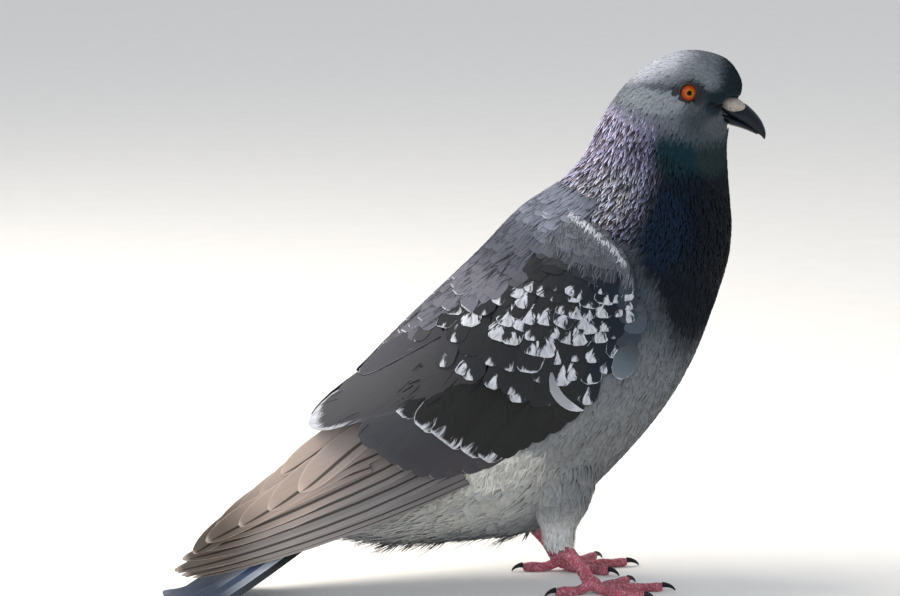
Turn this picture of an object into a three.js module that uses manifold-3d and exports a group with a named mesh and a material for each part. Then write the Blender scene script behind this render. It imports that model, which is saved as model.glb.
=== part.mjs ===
// A feral rock pigeon standing at rest with its wings folded, life size, as solids.
// Units are millimetres. +X runs towards the bill, +Y to the bird's left, +Z up, and the floor is z = 0.
// The flesh is one lofted body parted by thin cuts into head, neck and trunk. The folded wings are shells
// cut from a slightly fuller loft, and the long flight and tail feathers are ribbed plates.
import * as THREE from 'three';
import { mergeVertices } from 'three/addons/utils/BufferGeometryUtils.js';
import Module from 'manifold-3d';

// ---- driving dimensions -------------------------------------------------------------------------
const MIDDLE = 8.03;           // x of the middle between bill tip and tail tip, moved to the origin
const GAP = 0.3;               // clearance between touching pieces
const STEPS_PER_STATION = 2;   // rings between two stations of the body
const RING_POINTS = 20;        // points round one ring of the body
const WING_FRONT_TO_MIDLINE = 1.2;
const WING_THICKNESS = 3.6;    // shell of the folded wing
const SHELL_REACH = 70;        // deeper than any half width

const EYE = { x: 101.8, z: 216.0, y: 7.6, radius: 5.0 };
const FOOT_HALF_SPREAD = 21;   // from the mid plane to the middle of each foot
const FOOT_STAGGER = { right: 1.5, left: -3 };
const FOOT_HUB = { x: 57.5, z: 4.6 };
const ANKLE = { x: 42.5, z: 22.5 };
const TAIL_BASE = { x: -34, z: 58 };
const TAIL_FEATHERS = 12;

// ---- body stations ------------------------------------------------------------------------------
// Each station is one cross-section: a point on the line of crown, nape and back, a point on the line
// of chin, breast and belly, the half width, where the section is widest (0 back, 1 belly), what the
// folded wing adds to the half width, and how far the wing stands above the back.
const STATIONS = [
  // back x, z       front x, z      half   widest  wing  roof
  [128.4, 213.8,     122.8, 200.0,   3.9,   0.50,   0,    0],     // root of the bill
  [127.6, 221.5,     121.6, 196.6,   6.3,   0.38,   0,    0],     // brow
  [120.5, 230.0,     121.5, 192.6,   8.9,   0.33,   0,    0],     // forehead
  [106.0, 233.4,     121.9, 188.0,   10.9,  0.37,   0,    0],     // crown and eyes
  [91.0,  229.8,     122.4, 183.0,   12.4,  0.46,   0,    0],     // ear coverts
  [77.5,  219.6,     122.9, 176.5,   14.0,  0.50,   0,    0],     // nape
  [67.4,  205.6,     123.8, 167.5,   16.0,  0.50,   0,    0],     // upper neck
  [58.5,  187.8,     124.5, 155.0,   21.0,  0.49,   0,    0],     // neck
  [46.5,  175.4,     122.4, 140.5,   29.0,  0.48,   1.5,  0.6],     // root of the neck
  [31.5,  164.8,     115.6, 121.0,   35.5,  0.47,   4.5,  0.6],     // shoulders
  [14.5,  147.4,     105.0, 95.5,    39.0,  0.48,   6.0,  0.7],     // mantle
  [-5.0,  128.6,     89.0,  71.5,    39.5,  0.48,   6.5,  1.5],   // middle of the back
  [-22.0, 104.5,     64.0,  45.0,    36.5,  0.48,   6.5,  8.5],   // rump and belly
  [-34.0, 87.0,      40.0,  26.5,    32.0,  0.48,   6.5,  12.5],  // behind the legs
  [-46.0, 71.5,      8.0,   22.5,    27.0,  0.47,   7.0,  17.5],  // vent
  [-58.0, 55.5,      -30.0, 23.0,    19.5,  0.45,   7.0,  21.5],  // tail coverts
  [-72.0, 44.0,      -60.0, 29.5,    9.0,   0.45,   4.0,  24.0],  // end of the tail coverts
];
const BACK_EXPONENT = 2.15;    // a little fuller than an ellipse over the back
const BELLY_EXPONENT = 2.0;
const WING_TAPER = { from: 0.3, to: 0.6, left: 0.4 };   // the wing thins towards its front edge

// ---- helpers ------------------------------------------------------------------------------------
const wasm = await Module();
wasm.setup();

// A number row at t in 0..1 through evenly numbered rows, by Catmull-Rom cubics.
function rowAt(rows, t) {
  const place = THREE.MathUtils.clamp(t, 0, 1) * (rows.length - 1);
  const i = Math.min(Math.floor(place), rows.length - 2);
  const f = place - i;
  const before = rows[Math.max(i - 1, 0)];
  const after = rows[Math.min(i + 2, rows.length - 1)];
  return rows[i].map((p1, k) => {
    const p2 = rows[i + 1][k];
    const m1 = (p2 - before[k]) / 2;
    const m2 = (after[k] - p1) / 2;
    const a = 2 * p1 - 2 * p2 + m1 + m2;
    const b = -3 * p1 + 3 * p2 - 2 * m1 - m2;
    return ((a * f + b) * f + m1) * f + p1;
  });
}

// A closed BufferGeometry through rings of equal count. Each end is zipped up from its first and last
// points inwards, so that a thin arched section closes as well as a round one.
function loftGeometry(rings) {
  const count = rings[0].length;
  const positions = rings.flat().flatMap((p) => [p.x, p.y, p.z]);
  const index = [];
  for (let i = 0; i < rings.length - 1; i += 1) {
    for (let j = 0; j < count; j += 1) {
      const next = (j + 1) % count;
      const a = i * count + j;
      const b = i * count + next;
      index.push(a, b, a + count, b, b + count, a + count);
    }
  }
  [0, rings.length - 1].forEach((end) => {
    const zip = (p, q, r) => {
      const corners = [p, q, r].map((corner) => end * count + corner);
      index.push(...(end === 0 ? corners.reverse() : corners));
    };
    let low = 0;
    let high = count - 1;
    while (high - low > 1) {
      zip(low, low + 1, high);
      low += 1;
      if (high - low > 1) {
        zip(low, high - 1, high);
        high -= 1;
      }
    }
  });
  const geometry = new THREE.BufferGeometry();
  geometry.setAttribute('position', new THREE.Float32BufferAttribute(positions, 3));
  geometry.setIndex(index);
  return geometry;
}

function volumeOf(vertices, triangles) {
  let six = 0;
  const p = [new THREE.Vector3(), new THREE.Vector3(), new THREE.Vector3()];
  for (let i = 0; i < triangles.length; i += 3) {
    p.forEach((v, k) => v.fromArray(vertices, 3 * triangles[i + k]));
    six += p[0].dot(p[1].clone().cross(p[2]));
  }
  return six / 6;
}

// A BufferGeometry as a manifold solid, turned the right way out.
function solid(geometry) {
  const bare = new THREE.BufferGeometry();
  bare.setAttribute('position', geometry.getAttribute('position').clone());
  if (geometry.index) bare.setIndex(geometry.index.clone());
  const merged = mergeVertices(bare, 1e-4);
  const vertices = new Float32Array(merged.getAttribute('position').array);
  const triangles = new Uint32Array(merged.index.array);
  if (volumeOf(vertices, triangles) < 0) {
    for (let i = 0; i < triangles.length; i += 3) {
      [triangles[i + 1], triangles[i + 2]] = [triangles[i + 2], triangles[i + 1]];
    }
  }
  return new wasm.Manifold(new wasm.Mesh({ numProp: 3, vertProperties: vertices, triVerts: triangles }));
}

function toGeometry(manifold) {
  const mesh = manifold.getMesh();
  const geometry = new THREE.BufferGeometry();
  geometry.setAttribute('position', new THREE.Float32BufferAttribute(mesh.vertProperties, 3));
  geometry.setIndex(Array.from(mesh.triVerts));
  geometry.computeVertexNormals();
  return geometry;
}

// The largest piece of a cut, without the crumbs.
function mainPiece(manifold) {
  return manifold.decompose().reduce((best, piece) => (piece.volume() > best.volume() ? piece : best));
}

const unite = (parts) => parts.reduce((whole, part) => whole.add(part));
const mirrored = (manifold) => manifold.mirror([0, 1, 0]);

// Everything on one side of a plane that holds the Y axis direction: a big box with one face there.
function beyondPlane(point, towards) {
  const size = 600;
  const direction = new THREE.Vector3(towards[0], 0, towards[1]).normalize();
  const box = new THREE.BoxGeometry(size, size, size);
  const turn = new THREE.Quaternion().setFromUnitVectors(new THREE.Vector3(1, 0, 0), direction);
  box.applyQuaternion(turn);
  const centre = direction.multiplyScalar(size / 2);
  box.translate(point[0] + centre.x, 0, point[1] + centre.z);
  return solid(box);
}

// ---- body lofts ---------------------------------------------------------------------------------
// One ring: a superellipse between the back and belly points. winged adds the wing's share to the
// half width and lifts the back line, grow moves the whole surface outwards.
function bodyRing(t, { winged = false, grow = 0 }) {
  const [bx, bz, fx, fz, half, widest, wing, roof] = rowAt(STATIONS, t);
  const back = new THREE.Vector3(bx, 0, bz);
  const front = new THREE.Vector3(fx, 0, fz);
  const down = front.clone().sub(back).normalize();
  back.addScaledVector(down, -grow);
  front.addScaledVector(down, grow);
  if (winged) {
    back.x -= roof * 0.25;
    back.z += roof;
  }
  const ring = [];
  for (let j = 0; j < RING_POINTS; j += 1) {
    const angle = (2 * Math.PI * j) / RING_POINTS;
    const c = Math.cos(angle);
    const s = Math.sin(angle);
    const exponent = c > 0 ? BACK_EXPONENT : BELLY_EXPONENT;
    const along = Math.abs(c) ** (2 / exponent);
    const across = Math.abs(s) ** (2 / exponent);
    const v = c > 0 ? widest * (1 - along) : widest + (1 - widest) * along;
    const point = back.clone().lerp(front, v);
    const thin = THREE.MathUtils.smoothstep(v, WING_TAPER.from, WING_TAPER.to);
    const wingShare = winged ? wing * THREE.MathUtils.lerp(1, WING_TAPER.left, thin) : 0;
    point.y = -Math.sign(s) * (half + grow + wingShare) * across;
    ring.push(point);
  }
  return ring;
}

function bodyLoft(options, from = 0, to = 1) {
  const count = Math.round((STATIONS.length - 1) * STEPS_PER_STATION * (to - from));
  const rings = [];
  for (let i = 0; i <= count; i += 1) rings.push(bodyRing(from + ((to - from) * i) / count, options));
  return solid(loftGeometry(rings));
}

// A side outline in x and z, extruded towards the right side from the mid plane.
function sidePrism(outline, from = WING_FRONT_TO_MIDLINE, swell = 0) {
  const centre = new THREE.Vector2();
  outline.forEach(([x, z]) => centre.add(new THREE.Vector2(x, z).divideScalar(outline.length)));
  const points = outline.map(([x, z]) => {
    const p = new THREE.Vector2(x, z);
    return p.addScaledVector(p.clone().sub(centre).normalize(), swell);
  });
  const geometry = new THREE.ExtrudeGeometry(new THREE.Shape(points), {
    depth: SHELL_REACH,
    bevelEnabled: false,
    steps: 1,
  });
  geometry.rotateX(Math.PI / 2);
  geometry.translate(0, -from, 0);
  return solid(geometry);
}

// Points along a smooth open curve through a few side view points.
function smooth(points, count) {
  const curve = new THREE.SplineCurve(points.map(([x, z]) => new THREE.Vector2(x, z)));
  return curve.getPoints(count).map((p) => [p.x, p.y]);
}

// ---- wing outlines ------------------------------------------------------------------------------
const COVERT_EDGE = [[3, 62.5], [-11, 67.5], [-22, 75.5], [-32, 83.5], [-33, 96], [-26, 113]];
const FRONT_EDGE = [[50, 166], [60, 160.5], [69, 147], [73, 131], [73.5, 116], [70, 103], [59, 90.5],
  [46, 81], [32, 71.5], [19, 65.5], [3, 62.5]];
const SCAPULAR_EDGE = [[-26, 115], [-10, 120], [5, 130], [24, 142], [39, 153], [50, 166]];
const wingOutline = [
  ...smooth(FRONT_EDGE, 15),
  ...smooth(COVERT_EDGE, 7).slice(1),
  ...smooth(SCAPULAR_EDGE, 7).slice(0, -1),
];

const TERTIAL_EDGE = [[-25.5, 118], [-40, 104], [-54, 93], [-61.5, 83], [-60.5, 75], [-54, 70.5], [-40, 69.5],
  [-30, 62], [-21, 56.5], [-10, 55.5], [1.5, 61]];
const secondariesOutline = [
  ...smooth(TERTIAL_EDGE, 18),
  ...smooth(COVERT_EDGE.map(([x, z]) => [x - 0.5, z - 0.4]), 7).slice(1, -1),
];

// The back between the wings, with the scapulars: all that lies above the scapular edge.
const SHORT_OF_WING = 0.5;
const SCAPULAR_LAP = 0.2;        // the scapulars lap a little over the wing's surface
const scapularOutline = [
  ...smooth(SCAPULAR_EDGE, 7).map(([x, z]) => [x - SHORT_OF_WING / 2, z + SHORT_OF_WING]),
  [54, 176],
  [30, 190],
  [-36, 130],
];

// ---- flesh --------------------------------------------------------------------------------------
const core = bodyLoft({});
const envelope = bodyLoft({ winged: true });
const envelopeInside = bodyLoft({ winged: true, grow: -WING_THICKNESS });
const clearOfCore = bodyLoft({ grow: GAP });

const shell = envelope.subtract(clearOfCore).subtract(envelopeInside);
const wingRight = shell.intersect(sidePrism(wingOutline));
const secondariesRight = shell.intersect(sidePrism(secondariesOutline));
const scapularRight = sidePrism(scapularOutline, -WING_FRONT_TO_MIDLINE);
const scapularRoom = scapularRight.add(mirrored(scapularRight));
const scapulars = bodyLoft({ winged: true, grow: SCAPULAR_LAP }).intersect(scapularRoom);

// ---- hand of the wing: the primaries ------------------------------------------------------------
// Where the folded hand lies: height of its lower edge, its height, and how far its lower and its
// upper edge stand from the mid plane.
const HAND = [
  // x,    low z, height, low y, high y
  [10,    57,    20,     38,    34],
  [-25,   43.0,  35,     29.5,  17],
  [-68,   25.5,  37,     20,    7.5],
  [-95,   17.5,  26,     12.5,  4.5],
  [-118,  13,    10,     5.5,   3.2],
];
// Ends of the feathers from the outermost primary up to the innermost one that shows.
const HAND_TIPS = [[-113.5, 12.2], [-119, 15.4], [-116.5, 21], [-111, 29], [-102.5, 38.5], [-92, 47],
  [-80.5, 55.5], [-68, 65], [-56, 73]];
const HAND_ROOT = { low: [6, 58.5], high: [-18, 92] };
const HAND_SECTIONS = 3;
const HAND_THICKNESS = 1.0;
const HAND_STEP = 0.8;           // each feather's lower edge lies this much deeper than its upper edge
const HAND_SAG = 3.0;            // the shafts curve down a little between root and tip
const TIP_NOTCH = 3.5;           // the notch between two feather ends

function handAt(x) {
  const row = HAND.findIndex((r) => r[0] <= x);
  const i = row < 0 ? HAND.length - 1 : Math.max(row, 1);
  const f = THREE.MathUtils.clamp((HAND[i - 1][0] - x) / (HAND[i - 1][0] - HAND[i][0]), 0, 1);
  return HAND[i].map((value, k) => THREE.MathUtils.lerp(HAND[i - 1][k], value, f));
}

// A point of the folded hand on the right side, from its side view place and its depth in the stack.
function handPoint(x, z, out) {
  const [, low, height, lowY, highY] = handAt(x);
  const up = THREE.MathUtils.clamp((z - low) / height, -0.2, 1.2);
  return new THREE.Vector3(x, -(THREE.MathUtils.lerp(lowY, highY, up) + out), z);
}

// A thin section along one feather edge, from the root line to its end.
function handSection(share, tip, out, notch) {
  const rootX = THREE.MathUtils.lerp(HAND_ROOT.low[0], HAND_ROOT.high[0], share);
  const rootZ = THREE.MathUtils.lerp(HAND_ROOT.low[1], HAND_ROOT.high[1], share);
  const outer = [];
  const inner = [];
  for (let i = 0; i <= HAND_SECTIONS; i += 1) {
    const s = (i / HAND_SECTIONS) * (1 - notch / Math.hypot(tip[0] - rootX, tip[1] - rootZ));
    const x = THREE.MathUtils.lerp(rootX, tip[0], s);
    const z = THREE.MathUtils.lerp(rootZ, tip[1], s) - HAND_SAG * (1 - share) * Math.sin(Math.PI * s);
    outer.push(handPoint(x, z, out));
    inner.unshift(handPoint(x, z, -HAND_THICKNESS));
  }
  return [...outer, ...inner];
}

function handPlate() {
  const sections = [];
  const last = HAND_TIPS.length - 1;
  HAND_TIPS.forEach((tip, k) => {
    const next = HAND_TIPS[Math.min(k + 1, last)];
    const between = [tip[0] * 0.45 + next[0] * 0.55, tip[1] * 0.45 + next[1] * 0.55];
    sections.push(handSection(k / (last + 1), tip, 0, 0));
    sections.push(handSection((k + 0.85) / (last + 1), between, HAND_STEP, TIP_NOTCH));
  });
  return solid(loftGeometry(sections));
}

// ---- tail ---------------------------------------------------------------------------------------
// The shafts run back and down from the rump. The last stretch lies along the floor.
const TAIL_LINE = new THREE.SplineCurve([
  [TAIL_BASE.x, TAIL_BASE.z], [-60, 41.5], [-85, 25], [-103, 12.5], [-114, 4.8], [-125, 1.3],
].map(([x, z]) => new THREE.Vector2(x, z)));
const TAIL_ROOT_HALF = 12;
const TAIL_TIP_HALF = 21.5;
const TAIL_ARCH = 8.5;           // how much lower the outermost feathers lie than the middle pair
const TAIL_ARCH_AT_TIP = 0.12;   // share of the arch that is left where the tip lies on the floor

function tailPath(place) {
  return (s) => {
    const p = TAIL_LINE.getPoint(s);
    const half = THREE.MathUtils.lerp(TAIL_ROOT_HALF, TAIL_TIP_HALF, s);
    const flattened = THREE.MathUtils.smoothstep(s, 0.55, 0.97);
    const arch = TAIL_ARCH * THREE.MathUtils.lerp(1, TAIL_ARCH_AT_TIP, flattened);
    return new THREE.Vector3(p.x, half * place, p.y - arch * place * place);
  };
}

// Thin sections from the right edge to the left, two for each feather. Within a feather the plate
// tilts up towards the middle of the tail, so that each feather's edge stands on the one outside it,
// and its end is rounded.
const TAIL_SECTIONS = 5;
const TAIL_THICKNESS = 1.2;
const FEATHER_STEP = 0.5;
const TIP_ROUNDING = 2.2;

function tailSection(place, lift, shortening) {
  const path = tailPath(place);
  const top = [];
  const bottom = [];
  for (let i = 0; i <= TAIL_SECTIONS; i += 1) {
    const p = path(i / TAIL_SECTIONS);
    p.x += (shortening * i) / TAIL_SECTIONS;
    top.push(p.clone().add(new THREE.Vector3(0, 0, TAIL_THICKNESS / 2 + lift)));
    bottom.unshift(p.clone().add(new THREE.Vector3(0, 0, -TAIL_THICKNESS / 2)));
  }
  return [...top, ...bottom];
}

function tailPlate() {
  const sections = [];
  for (let k = 0; k < TAIL_FEATHERS; k += 1) {
    const outerFirst = k < TAIL_FEATHERS / 2;
    [0.04, 0.96].forEach((f) => {
      const place = (2 * (k + f)) / TAIL_FEATHERS - 1;
      const lift = FEATHER_STEP * (outerFirst ? f : 1 - f);
      const end = TIP_ROUNDING * (2 * f - 1) ** 2 + 3 * place * place;
      sections.push(tailSection(place, lift, end));
    });
  }
  return solid(loftGeometry(sections));
}

const belowFloor = beyondPlane([0, 0], [0, -1]);
const tail = tailPlate().subtract(belowFloor);

// The room that the tail takes in the body: a plate a little thicker and wider than the tail.
const TAIL_ROOM = { half: 1.6, width: 1.12, lengthSteps: 4, widthSteps: 8 };

function tailRoom() {
  const rings = [];
  for (let i = 0; i <= TAIL_ROOM.lengthSteps; i += 1) {
    const top = [];
    const bottom = [];
    for (let j = 0; j <= TAIL_ROOM.widthSteps; j += 1) {
      const place = TAIL_ROOM.width * ((2 * j) / TAIL_ROOM.widthSteps - 1);
      const p = tailPath(place)(i / TAIL_ROOM.lengthSteps);
      top.push(new THREE.Vector3(p.x, p.y, p.z + TAIL_ROOM.half));
      bottom.unshift(new THREE.Vector3(p.x, p.y, p.z - TAIL_ROOM.half));
    }
    rings.push([...top, ...bottom]);
  }
  return solid(loftGeometry(rings));
}

// ---- legs ---------------------------------------------------------------------------------------
// A tube of changing radius along points, each [x, y, z, radius across y, radius in the xz plane].
function tube(stations, sides, steps, grow = 0) {
  const rings = [];
  const total = (stations.length - 1) * steps;
  const at = (t) => rowAt(stations, t);
  for (let i = 0; i <= total; i += 1) {
    const t = i / total;
    const [x, y, z, wide, deep] = at(t);
    const ahead = at(Math.min(t + 0.01, 1));
    const behind = at(Math.max(t - 0.01, 0));
    const tangent = new THREE.Vector3(...ahead).sub(new THREE.Vector3(...behind)).normalize();
    const upright = Math.abs(tangent.z) > 0.95 ? new THREE.Vector3(1, 0, 0) : new THREE.Vector3(0, 0, 1);
    const across = new THREE.Vector3().crossVectors(tangent, upright).normalize();
    const deepWay = new THREE.Vector3().crossVectors(across, tangent).normalize();
    const ring = [];
    for (let j = 0; j < sides; j += 1) {
      const a = (2 * Math.PI * (j + 0.5)) / sides;     // two points share the lowest level
      const p = new THREE.Vector3(x, y, z);
      p.addScaledVector(across, (wide + grow) * Math.cos(a));
      p.addScaledVector(deepWay, (deep + grow) * Math.sin(a));
      p.z = Math.max(p.z, 0);                          // what rests on the floor is flat underneath
      ring.push(p);
    }
    rings.push(ring);
  }
  return solid(loftGeometry(rings));
}

// side is -1 for the right leg and 1 for the left.
function legPlan(side) {
  const shift = side < 0 ? FOOT_STAGGER.right : FOOT_STAGGER.left;
  const y = side * FOOT_HALF_SPREAD;
  const ankle = [ANKLE.x + shift, y, ANKLE.z];
  const hub = [FOOT_HUB.x + shift, y, FOOT_HUB.z];
  return { side, shift, y, ankle, hub };
}

function thigh({ side, ankle }, grow = 0) {
  const [x, y, z] = ankle;
  return tube([
    [x + 9, y - side * 13, z + 58, 6, 12],
    [x + 4, y - side * 4, z + 36, 11.5, 18],
    [x, y - side * 0.5, z + 18, 10.5, 12.5],
    [x - 0.5, y, z + 8, 7.2, 7.6],
    [x - 0.3, y, z, 5.4, 5.6],
    [x + 0.7, y, z - 4, 3.6, 3.8],
  ], 12, 2, grow);
}

function tarsus({ ankle, hub }, grow = 0) {
  const [ax, y, az] = ankle;
  const [hx, , hz] = hub;
  return tube([
    [ax - 1, y, az + 3, 2.6, 3.4],
    [ax + 2.5, y, az - 1.5, 2.5, 3.0],
    [(ax + hx) / 2 + 1, y, (az + hz) / 2, 2.1, 2.5],
    [hx - 2, y, hz + 2, 2.6, 2.9],
    [hx + 1, y, hz - 0.6, 3.2, 3.0],
    [hx + 3, y, hz - 1.8, 2.2, 1.9],
  ], 9, 2, grow);
}

// Toes: heading in degrees outwards from straight ahead, length, and the claw's length.
const TOES = {
  inner: { heading: -34, reach: 21, claw: 6.5, joints: 2 },
  middle: { heading: 3, reach: 29, claw: 7.5, joints: 3 },
  outer: { heading: 38, reach: 23, claw: 6.5, joints: 2 },
  hind: { heading: 174, reach: 15.5, claw: 6.5, joints: 1 },
};
const TOE_RADIUS = { root: 2.3, pad: 2.4, joint: 1.8, tip: 1.5 };
const TOE_DEEP = 2.4;
const TOE_HEIGHT = 2.1;        // height of the toe's middle: its underside is cut flat by the floor

function toeAxes({ side, hub }, toe) {
  const angle = THREE.MathUtils.degToRad(toe.heading);
  const ahead = new THREE.Vector3(Math.cos(angle), side * Math.sin(angle), 0);
  const start = new THREE.Vector3(hub[0], hub[1], 0).addScaledVector(ahead, 1.5);
  return { ahead, start };
}

function toeSolid(leg, toe, grow = 0) {
  const { ahead, start } = toeAxes(leg, toe);
  const stations = [];
  const row = (along, z, wide, deep) => {
    const p = start.clone().addScaledVector(ahead, along);
    stations.push([p.x, p.y, z, wide, deep]);
  };
  const rise = toe.joints === 1 ? 2.2 : 1.6;
  row(0, TOE_HEIGHT + rise, TOE_RADIUS.root, TOE_RADIUS.root);
  for (let j = 0; j < toe.joints; j += 1) {
    const from = j / toe.joints;
    row(toe.reach * (from + 0.35 / toe.joints), TOE_HEIGHT, TOE_RADIUS.joint, TOE_DEEP);
    row(toe.reach * (from + 0.75 / toe.joints), TOE_HEIGHT, TOE_RADIUS.pad - 0.2 * j, TOE_DEEP);
  }
  row(toe.reach, TOE_HEIGHT + 0.2, TOE_RADIUS.tip, 1.7);
  return tube(stations, 8, 1, grow);
}

const CLAW_STEPS = 3;

function clawSolid(leg, toe) {
  const { ahead, start } = toeAxes(leg, toe);
  const root = start.clone().addScaledVector(ahead, toe.reach + GAP);
  const bend = 1.25;                                   // radians from root to tip
  const radius = toe.claw / bend;
  const stations = [];
  for (let i = 0; i <= CLAW_STEPS; i += 1) {
    const f = i / CLAW_STEPS;
    const p = root.clone().addScaledVector(ahead, radius * Math.sin(bend * f));
    const drop = radius * (1 - Math.cos(bend * f));
    const top = TOE_HEIGHT + 1.0;
    stations.push([p.x, p.y, top - drop * (top - 0.35) / (radius * (1 - Math.cos(bend))),
      THREE.MathUtils.lerp(1.15, 0.28, f), THREE.MathUtils.lerp(1.5, 0.3, f)]);
  }
  return tube(stations, 6, 1);
}

// ---- bill, cere and eyes ------------------------------------------------------------------------
// A ring between a top and a bottom point, an ellipse squared a little at its lower edge.
function billLoft(rows, grow = 0, sides = 10) {
  const rings = [];
  const steps = rows.length - 1;
  for (let i = 0; i <= steps; i += 1) {
    const [tx, tz, bx, bz, half] = rowAt(rows, i / steps);
    const middle = new THREE.Vector3((tx + bx) / 2, 0, (tz + bz) / 2);
    const up = new THREE.Vector3(tx - bx, 0, tz - bz).divideScalar(2);
    const length = up.length();
    up.multiplyScalar((length + grow) / length);
    const ring = [];
    for (let j = 0; j < sides; j += 1) {
      const a = (2 * Math.PI * j) / sides;
      const p = middle.clone().addScaledVector(up, Math.cos(a));
      p.y = (half + grow) * Math.sin(a);
      ring.push(p);
    }
    rings.push(ring);
  }
  return solid(loftGeometry(rings));
}

const UPPER_BILL = [
  [120.5, 211.7, 119.0, 206.4, 3.4],
  [125.0, 211.8, 122.4, 203.8, 4.1],
  [130.0, 208.9, 127.0, 201.4, 3.9],
  [133.9, 204.6, 131.2, 199.4, 3.1],
  [137.0, 200.4, 134.8, 197.2, 2.1],
  [139.1, 196.6, 137.6, 195.6, 1.1],
  [139.2, 194.3, 138.9, 194.2, 0.35],
];
const LOWER_BILL = [
  [119.4, 205.0, 120.4, 201.6, 3.3],
  [122.1, 203.2, 123.2, 199.6, 3.8],
  [127.0, 200.8, 127.4, 198.4, 3.2],
  [131.4, 198.8, 131.6, 197.2, 2.3],
  [135.6, 196.5, 135.7, 195.7, 1.1],
];
const CERE = { x: 123.9, z: 208.9, y: 2.5, long: 6.1, wide: 3.0, high: 3.4, tilt: 8 };

function cereLobe(side, grow = 0) {
  const lobe = new THREE.SphereGeometry(1, 10, 6);
  lobe.scale(CERE.long + grow, CERE.wide + grow, CERE.high + grow);
  lobe.rotateY(THREE.MathUtils.degToRad(-CERE.tilt));
  lobe.translate(CERE.x, side * CERE.y, CERE.z);
  return solid(lobe);
}

function eyeball(side, grow = 0) {
  const ball = new THREE.SphereGeometry(EYE.radius + grow, 12, 6);
  ball.translate(EYE.x, side * EYE.y, EYE.z);
  return solid(ball);
}

const cere = cereLobe(-1).add(cereLobe(1));
const cereRoom = cereLobe(-1, GAP).add(cereLobe(1, GAP));
const lowerBill = billLoft(LOWER_BILL);
const upperBill = billLoft(UPPER_BILL).subtract(cereRoom).subtract(billLoft(LOWER_BILL, GAP));
const billRoom = unite([cereRoom, billLoft(UPPER_BILL, GAP), billLoft(LOWER_BILL, GAP)]);

// ---- parting the flesh --------------------------------------------------------------------------
const HEAD_CUT = { back: [70, 209], front: [123, 190] };
const NECK_CUT = { back: [50, 178.5], front: [124, 146] };

// A cut through two side view points: what lies towards the bill, or away from it.
function cutSide({ back, front }, towardsBill, gap) {
  const along = [front[0] - back[0], front[1] - back[1]];
  const normal = [-along[1], along[0]];
  const length = Math.hypot(...normal);
  const sign = towardsBill ? 1 : -1;
  const unit = normal.map((n) => (sign * n) / length);
  return beyondPlane([back[0] + unit[0] * gap, back[1] + unit[1] * gap], unit);
}

const legs = { right: legPlan(-1), left: legPlan(1) };
const bareCore = core.subtract(tailRoom());
const head = bareCore
  .intersect(cutSide(HEAD_CUT, true, GAP / 2))
  .subtract(unite([eyeball(-1, GAP), eyeball(1, GAP), billRoom]));
const neck = bareCore
  .intersect(cutSide(HEAD_CUT, false, GAP / 2))
  .intersect(cutSide(NECK_CUT, true, GAP / 2));
const trunk = core.add(scapulars).subtract(tailRoom()).intersect(cutSide(NECK_CUT, false, GAP / 2));

const wingRoom = sidePrism(wingOutline, 0, 1)
  .add(sidePrism(secondariesOutline, 0, 0.6))
  .subtract(bodyLoft({ winged: true, grow: -WING_THICKNESS - GAP }));
const primariesRight = mainPiece(handPlate().subtract(wingRoom).subtract(clearOfCore).subtract(tailRoom()));

// ---- scene graph --------------------------------------------------------------------------------
const COLOURS = {
  head: 0x6f7884, neck: 0x3d4457, trunk: 0x7d8188, wing: 0x3b3c40, secondaries: 0x56575d,
  primaries: 0x6b645f, tail: 0x6d7684, thigh: 0x8e9296, leg: 0xa8505a, claw: 0x2b2626,
  bill: 0x33353c, cere: 0xcfc6c0, eye: 0xd8561c,
};
const ROUGH = { head: 0.9, neck: 0.6, trunk: 0.9, wing: 0.85, secondaries: 0.8, primaries: 0.75, tail: 0.8,
  thigh: 0.95, leg: 0.6, claw: 0.4, bill: 0.35, cere: 0.8, eye: 0.08 };

const pigeon = new THREE.Group();
pigeon.position.x = -MIDDLE;

function addPart(name, finish, manifold) {
  const material = new THREE.MeshStandardMaterial({
    color: COLOURS[finish],
    roughness: ROUGH[finish],
    metalness: 0,
  });
  const mesh = new THREE.Mesh(toGeometry(manifold), material);
  mesh.name = name;
  pigeon.add(mesh);
}

addPart('head', 'head', head);
addPart('neck', 'neck', neck);
addPart('trunk', 'trunk', trunk);
addPart('tail', 'tail', tail);
addPart('cere', 'cere', cere);
addPart('bill_upper', 'bill', upperBill);
addPart('bill_lower', 'bill', lowerBill);

Object.entries(legs).forEach(([name, leg]) => {
  const onSide = (manifold) => (name === 'right' ? manifold : mirrored(manifold));
  addPart(`eye_${name}`, 'eye', eyeball(leg.side));
  addPart(`wing_${name}`, 'wing', onSide(wingRight));
  addPart(`secondaries_${name}`, 'secondaries', onSide(secondariesRight));
  addPart(`primaries_${name}`, 'primaries', onSide(primariesRight));
  const bareThigh = mainPiece(thigh(leg).subtract(clearOfCore).subtract(tarsus(leg, GAP)));
  addPart(`thigh_${name}`, 'thigh', bareThigh);
  addPart(`tarsus_${name}`, 'leg', tarsus(leg).subtract(clearOfCore));
  const middleToe = toeSolid(leg, TOES.middle, GAP);
  Object.entries(TOES).forEach(([toeName, toe]) => {
    const whole = toeSolid(leg, toe).subtract(tarsus(leg, GAP));
    const parted = toe === TOES.middle ? whole : mainPiece(whole.subtract(middleToe));
    addPart(`toe_${toeName}_${name}`, 'leg', parted);
    addPart(`claw_${toeName}_${name}`, 'claw', clawSolid(leg, toe));
  });
});

export default pigeon;
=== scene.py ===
# %% [markdown]
# # A feral pigeon, standing
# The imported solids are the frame: a faceted body, two folded wings, a tail, legs, bill and eyes.
# Here the bird gets one smooth skin, and over it about twenty-eight thousand feathers and loose barbs.
# Each is a thin closed vane, so the coat is solid mesh. All lengths below are millimetres in the
# frame's own axes (+X to the bill, +Y to the bird's left, +Z up) until a mesh is made.

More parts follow.
